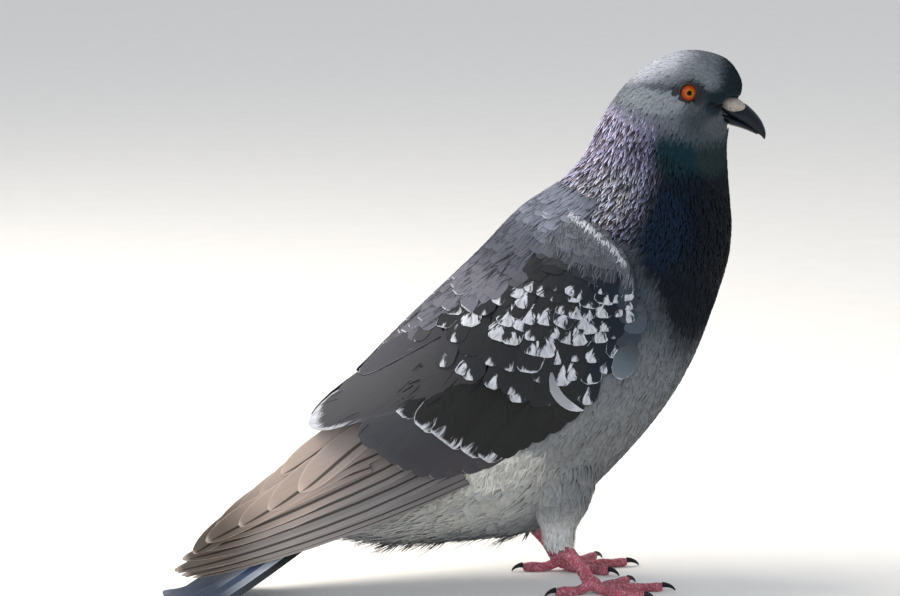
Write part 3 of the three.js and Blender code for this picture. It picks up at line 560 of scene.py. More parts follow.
def feather_material(name, roughness, barbs, rim=0.25, spread=0.22, keel=0.0, shaft=None, pale="#c2c5cc",
                     root=0.7):
    """barbs is how many stripes a vane shows, rim how much paler its worn edge is, spread how much one
    feather differs from the next, keel how much darker the sides are than the middle, shaft the place across
    the vane of a dark line that is the shaft and a painted shadow of the feather over it, and root how light
    the root is against the tip, which is painted shade where the root lies under other feathers."""
    material, tree, shader = new_material(name, roughness, **{"Specular IOR Level": 0.12})
    tint, vane, mark = (add_node(tree, "ShaderNodeAttribute", attribute_name=layer)
                        for layer in ("tint", "vane", "mark"))
    place = add_node(tree, "ShaderNodeSeparateXYZ", {0: vane.outputs["Vector"]})
    marks = add_node(tree, "ShaderNodeSeparateXYZ", {0: mark.outputs["Vector"]})
    found = dict(zip(("along", "across", "chance", "tall", "broad", "edge"), [*place.outputs, *marks.outputs]))
    # Each step names its result, says what is done, and to what: numbers, or the names of earlier results.
    # LINEAR and SMOOTHSTEP turn the range from two numbers into the range of the next two.
    steps = [
        ("side", "ABSOLUTE", "across"),
        # stripes: sine of barbs * (along - 0.35 side), and streaks of noise that run along the barbs
        ("slant", "MULTIPLY_ADD", "side", -0.35, "along"),
        ("phase", "MULTIPLY", "slant", barbs * TURN),
        ("other", "MULTIPLY_ADD", "chance", 60.0, "across"),
        ("rough", "NOISE", "phase", "other", 0.55, 2.5),
        ("stripe", "SINE", "phase"),
        # distance from the rim: the smaller of 1 - side and 1.6 (1 - along)
        ("inward", "SUBTRACT", 1.0, "side"),
        ("back", "MULTIPLY_ADD", "along", -1.6, 1.6),
        ("border", "SMOOTH_MIN", "inward", "back", 0.1),
        ("ragged", "MULTIPLY_ADD", "rough", 0.3, "border"),
        # lightness: (chance + stripes + streaks) * sides * shaft line with its painted shadow, + rim, * painted
        # shade at the root
        ("light", "LINEAR", "chance", 0.0, 1.0, 1 - spread, 1 + spread),
        ("light", "MULTIPLY_ADD", "stripe", 0.05, "light"),
        ("streak", "LINEAR", "rough", 0.25, 0.75, -0.16, 0.16),
        ("light", "ADD", "light", "streak"),
        ("flank", "SMOOTHSTEP", "side", 0.35, 0.95, 1.0, 1 - keel),
        ("light", "MULTIPLY", "light", "flank"),
    ]
    # a dark line at the place shaft: the shaft, and a painted shadow of the edge of the feather lying over it
    if shaft is not None:
        steps += [
            ("from_shaft", "SUBTRACT", "across", shaft),
            ("from_shaft", "ABSOLUTE", "from_shaft"),
            ("line", "SMOOTHSTEP", "from_shaft", 0.06, 0.17, 0.22, 1.0),
            ("light", "MULTIPLY", "light", "line"),
        ]
    steps += [
        ("worn", "SMOOTHSTEP", "ragged", 0.32, 0.12, 0.0, rim),
        ("light", "ADD", "light", "worn"),
        # painted shade: the root, which lies under the feathers above, is darker than the tip
        ("root_shade", "LINEAR", "along", 0.0, 0.55, root, 1.0),
        ("light", "MULTIPLY", "light", "root_shade"),
        # clouds about a tenth of the vane long, which break the white up
        ("along_cloud", "MULTIPLY", "slant", 8.0),
        ("across_cloud", "MULTIPLY", "other", 1.7),
        ("cloud", "NOISE", "along_cloud", "across_cloud", 1.0, 2.0),
        # a white wedge on the tip, a little to one side, with hollow flanks: 1 - along < tall * w^HOLLOW,
        # where w = broad * jag - |across + 0.9 (chance - 0.5)|, and jag, about 1, is made of both noises
        ("uneven", "SUBTRACT", "rough", 0.5),
        ("off", "MULTIPLY_ADD", "chance", 0.9, "across"),
        ("off", "SUBTRACT", "off", 0.45),
        ("off", "ABSOLUTE", "off"),
        ("jag", "MULTIPLY_ADD", "uneven", 0.9, 0.15),
        ("jag", "MULTIPLY_ADD", "cloud", 1.7, "jag"),
        ("width", "MULTIPLY", "broad", "jag"),
        ("width", "SUBTRACT", "width", "off"),
        ("width", "MAXIMUM", "width", 0.0),
        ("wedge", "POWER", "width", HOLLOW),
        ("wedge", "MULTIPLY", "wedge", "tall"),
        ("fall", "SUBTRACT", 1.0, "along"),
        ("spot", "SUBTRACT", "wedge", "fall"),
        ("spot", "SMOOTHSTEP", "spot", 0.003, 0.1, 0.0, 1.0),
        # a white rim on the outer half: border < edge (1 + unevenness)
        ("hem", "MULTIPLY_ADD", "uneven", 2.0, 1.0),
        ("hem", "MULTIPLY", "hem", "edge"),
        ("hem", "SUBTRACT", "hem", "border"),
        ("hem", "SMOOTHSTEP", "hem", 0.0, 0.04, 0.0, 1.0),
        ("outer", "SMOOTHSTEP", "along", 0.66, 0.88, 0.0, 1.0),
        ("hem", "MULTIPLY", "hem", "outer"),
        ("white", "MAXIMUM", "spot", "hem"),
        # the white is clouded with grey
        ("soil", "MULTIPLY_ADD", "rough", 0.4, "cloud"),
        ("clean", "LINEAR", "soil", 0.5, 0.85, 0.5, 1.0),
        ("white", "MULTIPLY", "white", "clean"),
        # relief: the barbs and the shaft
        ("spine", "LINEAR", "side", 0.0, 0.09, 1.0, 0.0),
        ("relief", "MULTIPLY_ADD", "stripe", 0.3, "spine"),
    ]
    for result, what, *values in steps:
        inputs = {i: found.get(value, value) for i, value in enumerate(values)}
        if what == "NOISE":
            at = add_node(tree, "ShaderNodeCombineXYZ", {0: inputs[0], 1: inputs[1]}).outputs[0]
            node = add_node(tree, "ShaderNodeTexNoise", {"Vector": at, "Scale": inputs[2], "Detail": inputs[3]})
        elif what in ("LINEAR", "SMOOTHSTEP"):
            node = add_node(tree, "ShaderNodeMapRange", inputs, interpolation_type=what)
        else:
            node = add_node(tree, "ShaderNodeMath", inputs, operation=what)
        found[result] = node.outputs[0]
    colour = add_node(tree, "ShaderNodeVectorMath", {0: tint.outputs["Color"], "Scale": found["light"]},
                      operation="SCALE").outputs[0]
    final = add_node(tree, "ShaderNodeMix", {0: found["white"], 6: colour, 7: rgba(pale)}, data_type="RGBA")
    tree.links.new(final.outputs[2], shader.inputs["Base Color"])
    bump = add_node(tree, "ShaderNodeBump", {"Height": found["relief"], "Distance": 0.00008, "Strength": 0.6})
    tree.links.new(bump.outputs[0], shader.inputs["Normal"])
    return material


DOWN = feather_material("keratin_body_down", 0.9, 5, rim=0.06, spread=0.1, root=0.82)
FACE = feather_material("keratin_face_feathers", 0.85, 3, rim=0.0, spread=0.07, root=0.95)
GLOSSY = feather_material("keratin_neck_hackles", 0.55, 3, rim=0.0, spread=0.3, keel=0.45)
MANTLE = feather_material("keratin_mantle_feathers", 0.8, 14, rim=0.03, spread=0.06)
WING = feather_material("keratin_wing_coverts", 0.8, 14, rim=0.04, spread=0.07, pale="#babec6")
FLIGHT = feather_material("keratin_inner_flight_feathers", 0.7, 46, rim=0.25, spread=0.08, pale="#b4b8c0")
# the dark line at 0.42 across paints the shadow of the primary lying over each one, along with its shaft
HAND_FLIGHT = feather_material("keratin_outer_flight_feathers", 0.7, 46, rim=0.3, spread=0.1, shaft=0.42,
                               pale="#b3a79d")
print("feather materials:", [m.name for m in bpy.data.materials if m.name.startswith("keratin")])

# %% [markdown]
# ## Surfaces besides the body
# Legs, toes and claws are tubes: an ellipse carried along a row of points. The folded hand of the wing
# and the tail are sheets. Each is a function of two numbers like the body, so the same rule lays
# feathers on all of them.


# %% Tubes and sheets
def tube(rows, upright):
    """A surface of t along the rows [x, y, z, half width across, half depth] and a round the ellipse:
    p + wide cos(a) across + deep sin(a) (across x tangent)."""
    rows = np.array(rows, float)

    def surface(t, a):
        t, a = np.broadcast_arrays(np.asarray(t, float), np.asarray(a, float))
        row = rows_at(rows, t)
        tangent = unit((rows_at(rows, t + 0.01) - rows_at(rows, t - 0.01))[..., :3])
        across = unit(np.cross(tangent, np.array(upright, float)))
        deep = np.cross(across, tangent)
        wide, high = row[..., 3] * np.cos(a), row[..., 4] * np.sin(a)
        return row[..., :3] + wide[..., None] * across + high[..., None] * deep
    return surface


HAND_UNIT = 100    # mm for each unit of t and a on the folded hand
HAND = np.array([
    # x,   low z, height, y of the lower and of the upper edge
    [10,   57,    20,     38,    34],
    [-25,  43.0,  35,     29.5,  17],
    [-68,  25.5,  37,     20,    7.5],
    [-95,  17.5,  26,     12.5,  4.5],
    [-118, 13,    10,     5.5,   3.2],
])


def hand(t, a):
    """The folded primaries on the right side. t is -x and a is -z in hand units; y goes from the lower
    edge's place to the upper edge's."""
    x, z = np.broadcast_arrays(-HAND_UNIT * np.asarray(t, float), -HAND_UNIT * np.asarray(a, float))
    low, height, low_y, high_y = (np.interp(x, HAND[::-1, 0], HAND[::-1, k]) for k in range(1, 5))
    up = np.clip((z - low) / height, -0.2, 1.2)
    return np.stack([x, -(low_y + (high_y - low_y) * up), z], -1)


TAIL_LINE = np.array([[-34, 58], [-60, 41.5], [-85, 25], [-103, 12.5], [-114, 4.8], [-125, 1.3]])


def tail(t, a):
    """The fan of the tail. t runs along the shafts; a is -1 at the left edge and 1 at the right one.
    Height falls by arch * a^2 away from the middle, and less near the end, which lies flat."""
    t, a = np.broadcast_arrays(np.asarray(t, float), np.asarray(a, float))
    x, z = np.moveaxis(rows_at(TAIL_LINE, t), -1, 0)
    arch = 8.5 * (1 - 0.88 * smoothstep(t, 0.55, 0.97))
    return np.stack([x, -(12 + 9.5 * t) * a, z - arch * a ** 2 + 0.35], -1)


coat = body    # the body's outside without the folded wings


def wing(t, a):
    """The body's outside with the folded wings on it."""
    return body(t, a, 1.0)


def hand_find(x, z):
    return -np.asarray(x, float) / HAND_UNIT, -np.asarray(z, float) / HAND_UNIT


def aim(surface, finder, roots, tips):
    """Side view roots and tips (n x 2) to t, a, turn and length of feathers on a surface."""
    (t, a), (t_tip, a_tip) = finder(*roots.T), finder(*tips.T)
    p, pt, _, normal = slopes(surface, t, a)
    way = surface(t_tip, a_tip) - p
    length = np.linalg.norm(way, axis=1)
    ahead = unit(pt)
    dot = lambda u, v: np.einsum("ij,ij->i", u, v)
    return t, a, np.arctan2(dot(way, np.cross(normal, ahead)), dot(way, ahead)), length * 1.01


def mirrored(points, side):
    """The right side's points, or their mirror image for the left side."""
    return points if side == RIGHT else points * [1, -1, 1]


def side_angle(a, side):
    """The right side's angle round the body, or its mirror image."""
    return a if side == RIGHT else TURN - a


print("hand and tail tips:", hand(1.13, -0.12).round(1).tolist(), tail(1.0, 0.0).round(1).tolist())

# %% [markdown]
# ## Head feathers
# The face has the smallest feathers of the bird, about a millimetre apart, lying flat and pointing back
# from the bill. They keep clear of the eye's bare ring and of the root of the bill.

# %% Head
def tinted(points, ramp, sway=0.05, at=0.6, field=plumage):
    """Colour of each feather: the field at its middle, times a ramp of lightness along its stations, and a
    small random shift between warm and cool. A ramp that is darker at the root paints the shade that the
    feathers above cast there."""
    middle = points[:, int(at * points.shape[1])].mean(axis=1)
    colour = field(middle) * (1 + sway * rng.uniform(-1, 1, (len(points), 1)) * np.array([1, 0.1, -1]))
    steps = np.interp(np.linspace(0, 1, points.shape[1]), np.linspace(0, 1, len(ramp)), ramp)
    return colour[:, None] * steps[None, :, None]


HEAD_END = 0.36
# outline of the root of the bill in the side view
BEAK_WEDGE = np.array([[117.2, 210.2], [118.6, 212.6], [121.5, 213.6], [124.6, 213.4], [132, 214], [132, 197],
                       [121.2, 200.2], [118.4, 205.2]])
BARE_RING = 4.3    # radius round the eye that the feathers leave bare


def strands(surface, t, a, half, length, lift, turn=0.16, bend=0.2, **more):
    """Many narrow pointed feathers with random headings."""
    n = len(t)
    return lay(surface, t, a, turn * rng.normal(size=n), length, half, lift, profile=STRAND, lanes=2, thick=0.05,
               bend=bend * rng.uniform(-1, 1, n), **more)


t, a, spacing = tract(coat, (0.03, HEAD_END), (0, TURN), 1.02, lambda t, a: 0.8 + 1.9 * np.clip(t - 0.05, 0, 1),
                      wobble=0.35)
p = coat(t, a)
from_eye = np.hypot(p[:, 0] - EYE[0], (p[:, 2] - EYE[1]) * 1.06)
keep = ((from_eye > BARE_RING) | (np.abs(p[:, 1]) < 6)) & (depth_in(p[:, 0], p[:, 2], BEAK_WEDGE) < 0)
t, a, spacing = t[keep], a[keep], spacing[keep]
n = len(t)
half = np.clip(spacing * 0.75, 0.34, 0.95) * jitter(n, 0.2)
size = np.clip(5.0 * half, 1.6, 3.8) * jitter(n, 0.15)
head = Coat()
points = strands(coat, t, a, half, size, (-0.4, -0.02 + 0.08 * rng.random(n)), turn=0.12, camber=0.05)
head.add(points, STRAND, t=t, a=a, lanes=2, tint=tinted(points, [0.97, 1.0, 1.03], sway=0.02))
head.piece("head_feathers", FACE, "head_feathers")

# %% [markdown]
# ## Neck hackles
# On the neck the feathers are narrow and pointed and lie like flakes. Each one is lilac or green, with
# painted shade at its root and a painted highlight on its tip, and some carry a stronger painted glint;
# this stands for the glitter of a pigeon's neck.

# %% Neck
def hackles(t_span, across_gap, gap):
    """Narrow pointed feathers, lilac or green, with painted shade at the root, a painted highlight at the tip and,
    on some of them, a stronger painted glint.
    """
    t, a, spacing = tract(coat, t_span, (0, TURN), across_gap, gap, wobble=0.5)
    n = len(t)
    half = np.clip(spacing * 0.55, 0.26, 0.6) * jitter(n, 0.25)
    front = front_share(*coat(t, a)[:, [0, 2]].T)
    points = strands(coat, t, a, half, rng.uniform(4.4, 7.0, n),
                     (-0.9, 0.02 + 0.35 * rng.random(n) * (1 - 0.9 * front)), turn=0.24, camber=0.2)
    # painted light: the ramp darkens each root as painted shade and brightens each tip as a painted highlight, and
    # a random factor adds painted glints
    painted_glint = rng.choice([0.5, 1.0, 1.65], n, p=[0.35, 0.4, 0.25])[:, None, None]
    colour = tinted(points, [0.25, 0.35, 1.2, 2.3], sway=0.1) * painted_glint
    plain = tinted(points, [0.8, 0.9, 1.05, 1.15])
    return points, t, a, colour + (plain - colour) * front[:, None, None]


for name, t_span, across_gap in (("upper", (0.325, 0.45), 0.82), ("lower", (0.45, 0.575), 1.0)):
    points, t, a, tint = hackles(t_span, across_gap, lambda t, a: 1.6 + 2.2 * (t - 0.3))
    neck = Coat()
    neck.add(points, STRAND, 2, t, a, tint)
    neck.piece(f"neck_hackles_{name}", GLOSSY, "neck_feathers")

# %% [markdown]
# ## Breast, belly and flanks
# Body feathers are soft and rounded, and they grow longer towards the belly. Under the folded wing none
# are laid, because nobody sees them there. Towards the vent they are loose and stand out in wisps.

# %% Body feathers
# side view outlines: the coverts' rear edge, the scapulars' lower edge, the tertials and the folded hand
COVERT_EDGE = np.array([[3, 62.5], [-11, 67.5], [-22, 75.5], [-32, 83.5], [-33, 96], [-26, 113]])
SCAPULAR_EDGE = np.array([[-26, 115], [-10, 120], [5, 130], [24, 142], [39, 153], [50, 166]])
TERTIAL_EDGE = np.array([[-25.5, 118], [-40, 104], [-54, 93], [-61.5, 83], [-60.5, 75], [-54, 70.5], [-40, 69.5],
                         [-30, 62], [-21, 56.5], [-10, 55.5], [1.5, 61]])
WING_OUTLINE = np.concatenate([WING_FRONT, COVERT_EDGE[1:], SCAPULAR_EDGE[1:-1]])
FOLDED = np.concatenate([WING_FRONT, TERTIAL_EDGE[::-1][1:], SCAPULAR_EDGE[1:-1]])
HAND_OUTLINE = np.array([[8, 58], [-18, 92], [-56, 80], [-62, 72], [-81, 53], [-103, 36], [-119, 18], [-116, 13],
                         [-88, 21], [-55, 31.5], [-30, 39.5], [-2, 52]])
SPREAD = (0.3 * np.pi, 1.7 * np.pi)    # from one flank over the belly to the other


def clear_of_wing(t, a, margin, reach):
    """True where a body feather shows: neither its root nor its tip lies far inside the folded wing."""
    p, pt, _, _ = slopes(coat, t, a)
    clear = np.ones(len(t), bool)
    for (x, _, z), slack in ((p.T, margin), ((p + unit(pt) * reach).T, margin + 1.5)):
        allowed = np.where((x < 8) & (z < 80), -1.0, slack)
        clear &= (depth_in(x, z, FOLDED) < allowed) & (depth_in(x, z, HAND_OUTLINE) < 0.5)
    return clear


t, a, spacing = tract(coat, (0.535, 0.965), SPREAD, 4.6, lambda t, a: 3.8 + 4.0 * (t - 0.5), wobble=0.35)
keep = clear_of_wing(t, a, 6, 8.0)
t, a, spacing = t[keep], a[keep], spacing[keep]
n = len(t)
loose = smoothstep(t, 0.72, 0.88)
half = np.clip(spacing * 0.75, 1.6, 4.2) * jitter(n, 0.2)
high = 0.15 * rng.random(n) + loose * rng.random(n) ** 2
points = lay(coat, t, a, (0.15 + 0.25 * loose) * rng.normal(size=n), 3.6 * half * jitter(n, 0.15), half,
             (-1.6, high), camber=0.06, thick=0.05, fray=0.12)
trunk = Coat()
trunk.add(points, ROUND, 2, t, a, tinted(points, [0.9, 0.97, 1.0, 1.02], sway=0.03))
trunk.piece("body_feathers", DOWN, "body_feathers")
print("body feathers:", n)


def soft_barbs(t_span, across_gap, gap, reach, lift, shade=(0.98, 1.0, 1.03)):
    """Loose barbs that hide the outlines of the feathers below them."""
    t, a, spacing = tract(coat, t_span, SPREAD, across_gap, gap, wobble=0.45)
    keep = clear_of_wing(t, a, 5, reach)
    t, a, spacing = t[keep], a[keep], spacing[keep]
    n = len(t)
    loose = smoothstep(t, 0.8, 0.92)
    half = np.clip(spacing * 0.48, 0.4, 0.8) * jitter(n, 0.3)
    points = strands(coat, t, a, half, reach * jitter(n, 0.25) * (1 + 0.4 * loose),
                     (-0.5, lift + lift * rng.random(n) + loose * 1.8 * rng.random(n) ** 2),
                     turn=0.2 + 0.15 * loose.mean())
    patches = 1 + 0.1 * np.sin(17 * a + 31 * t) * np.sin(47 * t - 5 * a)
    return points, t, a, tinted(points, shade, sway=0.03) * patches[:, None, None]


breast = Coat()
points, t, a, tint = soft_barbs((0.53, 0.74), 1.45, lambda t, a: 1.7 + 2.2 * (t - 0.5), 7.0, 0.16)
breast.add(points, STRAND, 2, t, a, tint)
breast.piece("breast_down", DOWN, "body_feathers")

belly = Coat()
points, t, a, tint = soft_barbs((0.735, 0.965), 1.6, lambda t, a: 2.3, 8.0, 0.2)
belly.add(points, STRAND, 2, t, a, tint)

# the ragged fringe: pointed tufts that hang below the belly and the vent, most of them with dark tips
count, hairs = 48, 6
t = np.repeat(rng.uniform(0.80, 0.955, count), hairs) + 0.003 * rng.normal(size=count * hairs)
a = np.repeat(np.pi * rng.uniform(0.76, 1.24, count), hairs) + 0.03 * rng.normal(size=count * hairs)
down = np.repeat(rng.uniform(1.0, 6.0, count), hairs) * jitter(count * hairs, 0.2)
turn = np.repeat(0.45 * rng.normal(size=count), hairs) + 0.07 * rng.normal(size=count * hairs)
points = lay(coat, t, a, turn, rng.uniform(7, 14, count * hairs), rng.uniform(0.4, 0.9, count * hairs),
             (-1.0, down), profile=STRAND, thick=0.05)
dark = np.repeat(rng.choice([0.5, 1.0, 1.5], count, p=[0.25, 0.3, 0.45]), hairs)
steps = 1 + (dark[:, None] - 1) * np.array([0, 0.25, 0.75, 1.0])[None]
belly.add(points, STRAND, 2, t, a, tinted(points, [1.15], sway=0.12) * steps[..., None])


def fluff(count, box, length, code, lift, heading):
    """Pale loose tufts on the flank below the wing, on both sides. heading is the side view angle in
    degrees that they hang at, 0 straight back and 90 straight down."""
    x, z = rng.uniform(*box[0], count), rng.uniform(*box[1], count)
    angle = np.radians(rng.normal(heading, 14, count))
    way = np.stack([-np.cos(angle), -np.sin(angle)], 1) * rng.uniform(*length, count)[:, None]
    roots = np.stack([x, z], 1)
    t, a, turn, reach = aim(coat, lambda x, z: find(x, z, 0.0), roots, roots + way)
    for side in (RIGHT, LEFT):
        points = lay(coat, t, a, turn, reach, rng.uniform(0.3, 0.65, count), (-0.5, rng.uniform(*lift, count)),
                     profile=STRAND, thick=0.05)
        tint = linear(code) * jitter(count, 0.15)[:, None]
        belly.add(mirrored(points, side), STRAND, 2, t, side_angle(a, side), tint)


fluff(70, ((-1, 14), (57, 64)), (6, 10), "#bdbeb9", (0.3, 1.6), 76)
fluff(90, ((12, 36), (57, 69)), (5, 9), "#a5a6a3", (0.3, 1.2), 62)
fluff(50, ((-20, 4), (46, 55)), (4, 7), "#8c8c87", (0.2, 0.8), 50)
belly.piece("belly_down", DOWN, "body_feathers")

# %% [markdown]
# ## Mantle and scapulars
# The back carries large, firm feathers with faint pale rims. The lowest row, the scapulars, laps over
# the upper edge of the folded wing.

# %% Mantle
def back_colour(p):
    """Blue-grey on the mantle, browner on the rear scapulars."""
    x, _, z = np.moveaxis(p, -1, 0)
    colour = np.broadcast_to(linear("#60616b"), p.shape).copy()
    colour = blend(colour, "#444751", blob(x, z, 24, 152, 17, 9, 40) * 0.85)
    colour = blend(colour, "#33363b", blob(x, z, 33, 142, 17, 7, 38) * 0.85)
    colour = blend(colour, "#4d4d53", smoothstep(-x, 4, 32))
    return blend(colour, "#717887", blob(x, z, 44, 171, 20, 10, 40) * 0.7)


def border_z(x):
    """Height of the scapulars' lower edge."""
    return np.interp(x, [-33, -26, -5.8, 6.9, 20.7, 30.3, 48.4, 58],
                     [108, 113, 127, 131.9, 143.1, 152.4, 167, 172])


t, a, spacing = tract(wing, (0.49, 0.80), (-0.62 * np.pi, 0.62 * np.pi), 7.6, lambda t, a: 5.0 + 20 * (t - 0.5),
                      wobble=0.3)
n = len(t)
half = np.clip(spacing * 0.8, 3.4, 8.0) * (0.8 + 0.8 * (t - 0.5)) * jitter(n, 0.12)
size = 3.4 * half * jitter(n, 0.1)
p, pt, _, _ = slopes(wing, t, a)
tip = p + unit(pt) * size[:, None]
keep = (tip[:, 2] > border_z(tip[:, 0]) - 4.5) & (tip[:, 0] > -37) & (np.abs(a) < 0.6 * np.pi)
t, a, half, size, p, tip = (v[keep] for v in (t, a, half, size, p, tip))
n = len(t)
points = lay(wing, t, a, 0.09 * rng.normal(size=n), size, half, (-0.9, 0.2 + 0.15 * rng.random(n)), lanes=4,
             profile=SQUARE, camber=0.03, thick=0.05, fray=0.05)
low_row = tip[:, 2] - border_z(tip[:, 0]) < 9
top_front = (tip[:, 0] > 36) & (tip[:, 2] > 160)
chance = np.where(low_row & (tip[:, 0] < 8), 0.4, np.where(top_front, 0.15, 0.0))
rim = np.where(rng.random(n) < chance, 0.05, 0.0)
mark = np.stack([np.full(n, 0.2), np.zeros(n), rim], 1)
mantle = Coat()
mantle.add(points, SQUARE, 4, t, a, tinted(points, [0.94, 0.98, 1.0, 1.0], sway=0.02, field=back_colour), mark)
# loose barbs that soften the outlines
t, a, _ = tract(wing, (0.49, 0.81), (-0.58 * np.pi, 0.58 * np.pi), 1.3, lambda t, a: 2.3, wobble=0.5)
p = wing(t, a)
keep = p[:, 2] > border_z(p[:, 0]) + 2.5 * rng.normal(size=len(t)) + 1
t, a = t[keep], a[keep]
n = len(t)
points = strands(wing, t, a, rng.uniform(0.35, 0.8, n), rng.uniform(6, 10, n), (-0.3, 0.28 + 0.2 * rng.random(n)),
                 turn=0.1)
cloud = 1 + 0.13 * np.sin(23 * t + 5 * a) * np.sin(61 * t - 9 * a) + 0.1 * rng.normal(size=n)
tint = tinted(points, [0.95, 1.0, 1.05], sway=0.03, field=back_colour) * cloud[:, None, None]
mantle.add(points, STRAND, 2, t, a, tint)


def in_box(count, x_span, z_span):
    """Random side view points in a rectangle."""
    return np.stack([rng.uniform(*x_span, count), rng.uniform(*z_span, count)], 1)


def shade_slivers(made, roots, heading, length, code, lift, sides):
    """Painted shade: narrow dark slivers just above a vane, which stand for the shadow in the gaps where its
    barbs have parted. heading is their side view angle in degrees, 0 straight back and 90 straight down."""
    count = len(roots)
    angle = np.radians(rng.normal(heading, 9, count))
    way = np.stack([-np.cos(angle), -np.sin(angle)], 1) * (length * jitter(count, 0.35))[:, None]
    t, a, turn, reach = aim(wing, find, roots, roots + way)
    points = lay(wing, t, a, turn, reach, rng.uniform(0.12, 0.3, count), (lift - 0.25, lift), profile=STRAND,
                 thick=0.05, bend=0.3 * rng.uniform(-1, 1, count))
    tint = np.broadcast_to(linear(code), (count, 3))
    for side in sides:
        made.add(mirrored(points, side), STRAND, 2, t, side_angle(a, side), tint)


# dark slivers of painted shade between the mantle feathers
shade_slivers(mantle, in_box(12, (14, 44), (138, 154)), 38, 9.0, "#26282c", 0.75, (RIGHT, LEFT))
shade_slivers(mantle, in_box(4, (-22, 12), (122, 140)), 40, 8.0, "#3a3b41", 0.75, (RIGHT, LEFT))
mantle.piece("mantle_and_scapulars", MANTLE, "body_feathers")

# %% [markdown]
# ## Wing coverts
# The small feathers of the folded wing lie in curved rows round the shoulder. A row is where
# distance + 0.68 (60 - angle) is constant, measured from a point above the shoulder, with the angle from
# straight down towards the tail. The rows get further apart downwards. Below the shoulder most tips carry
# a white fleck, which makes the checkered pattern, and the last row, the greater coverts, has long dark
# feathers with white corners.

# %% Coverts
SHOULDER = np.array([82.7, 175.8])
DRIFT = 0.68    # mm by which a row comes nearer to that point with each degree away from the tail
ROWS = [22, 25.5, 29, 33, 37, 41.5, 46, 51, 56, 61, 66.5, 72, 78, 84.5, 91.5, 99.5, 109, 120]


def row_points(q, gap, phase, angles=(-28, 84)):
    """Side view points every gap mm along one row, and their angle in degrees."""
    fine = np.linspace(*angles, 600)
    reach = q - DRIFT * (60 - fine)
    x, z = SHOULDER[0] - reach * np.sin(np.radians(fine)), SHOULDER[1] - reach * np.cos(np.radians(fine))
    run = np.concatenate([[0], np.cumsum(np.hypot(np.diff(x), np.diff(z)))])
    at = np.arange(phase * gap, run[-1], gap)
    at = at + 0.2 * gap * rng.uniform(-1, 1, len(at))
    keep = np.interp(at, run, reach) > 4
    return np.stack([np.interp(at, run, x), np.interp(at, run, z)], 1)[keep], np.interp(at, run, fine)[keep]


def covert_colour(p):
    """Charcoal, blue-black at the front and lighter grey on the shoulder."""
    x, _, z = np.moveaxis(p, -1, 0)
    colour = np.broadcast_to(linear("#26282b"), p.shape).copy()
    colour = blend(colour, "#1a212b", smoothstep(x, 40, 58))
    colour = blend(colour, "#434c57", smoothstep(8 - distance_to(x, z, WING_FRONT[2:6]), 0, 7))
    colour = blend(colour, "#5c5f67", smoothstep(z + 0.35 * x, 158, 172))
    colour = blend(colour, "#3c3d42", blob(x, z, -22, 108, 16, 16) * 0.8)
    return blend(colour, "#232424", smoothstep(96 - z, 0, 12))


def covert_rows(side, made):
    """The small and middle coverts, row by row, with dark slivers of painted shade where barbs part between them.
    """
    for k, q in enumerate(ROWS):
        gap = np.interp(q, [22, 45, 70, 100], [3.2, 4.6, 6.2, 7.4])
        tips, angle = row_points(q, gap, 0.5 * (k % 2))
        n = len(tips)
        tips = tips + rng.normal(size=(n, 2)) * min(q / 60, 1)
        size = np.interp(q, [22, 60, 90, 122], [5, 6.5, 8.5, 12]) * 2.3 * jitter(n, 0.12)
        slope = np.radians(np.clip(angle - 22, 3, 60) + 6 * rng.normal(size=n))
        way = np.stack([np.sin(slope), np.cos(slope)], 1)
        # a root that would stand in front of the wing moves back, so the feathers there are small
        for _ in range(9):
            roots = tips + size[:, None] * way
            ahead = distance_to(*roots.T, WING_FRONT) < distance_to(*roots.T, SCAPULAR_EDGE)
            size = np.where((depth_in(*roots.T, WING_OUTLINE) < -1.0) & ahead, 0.84 * size, size)
        roots = tips + size[:, None] * way
        keep = (depth_in(*tips.T, WING_OUTLINE) > -0.5) & (depth_in(*roots.T, WING_OUTLINE) > -size * 0.75)
        keep &= (tips[:, 1] < border_z(tips[:, 0]) + 6) & (size > 2.2) & ((tips[:, 0] > -22) | (tips[:, 1] > 100))
        tips, roots, size, n = tips[keep], roots[keep], size[keep], keep.sum()
        if n == 0:
            continue
        t, a, turn, length = aim(wing, find, roots, tips)
        half = np.minimum(gap * 0.72, 0.36 * size + 0.3) * jitter(n, 0.12)
        points = lay(wing, t, a, turn, length, half, (-1.0, 0.2 + 0.15 * rng.random(n)), profile=SQUARE, lanes=4,
                     camber=0.03, thick=0.05, fray=0.12, bend=0.05)
        x, z = tips.T
        # the flecks: none on the shoulder, large and merging below the scapulars, smaller elsewhere
        amount = 0.88 * smoothstep(z, 82, 92) + 0.55 * blob(x, z, 36, 121, 32, 13)
        amount = (amount + 1.1 * blob(x, z, 12, 126, 17, 11, 25)) * smoothstep(141 - z, 0, 8)
        amount = amount * (1 - 0.75 * smoothstep(3 - x, 0, 10) * smoothstep(z, 106, 112))
        amount = amount * smoothstep(72 - x, 0, 4)
        amount = amount * rng.choice([0.2, 0.6, 0.9, 1.35], n, p=[0.12, 0.3, 0.33, 0.25])
        broad = np.clip(np.sqrt(amount), 0, 1.2) * jitter(n, 0.2)
        peak = np.clip(0.33 * amount * rng.uniform(0.5, 1.5, n), 0, 0.5)
        hem = np.where((amount > 0.2) & (rng.random(n) < np.where(x < 0, 0.4, 0.15)), 0.09 * rng.random(n), 0.0)
        mark = np.stack([peak / np.maximum(broad, 0.1) ** HOLLOW, broad, hem], 1)
        made.add(mirrored(points, side), SQUARE, 4, t, side_angle(a, side),
                 tinted(points, [0.85, 0.95, 1.0, 1.0], sway=0.02, field=covert_colour), mark)
    shade_slivers(made, in_box(12, (-26, 8), (88, 106)), 42, 7.0, "#191b1d", 0.4, (side,))


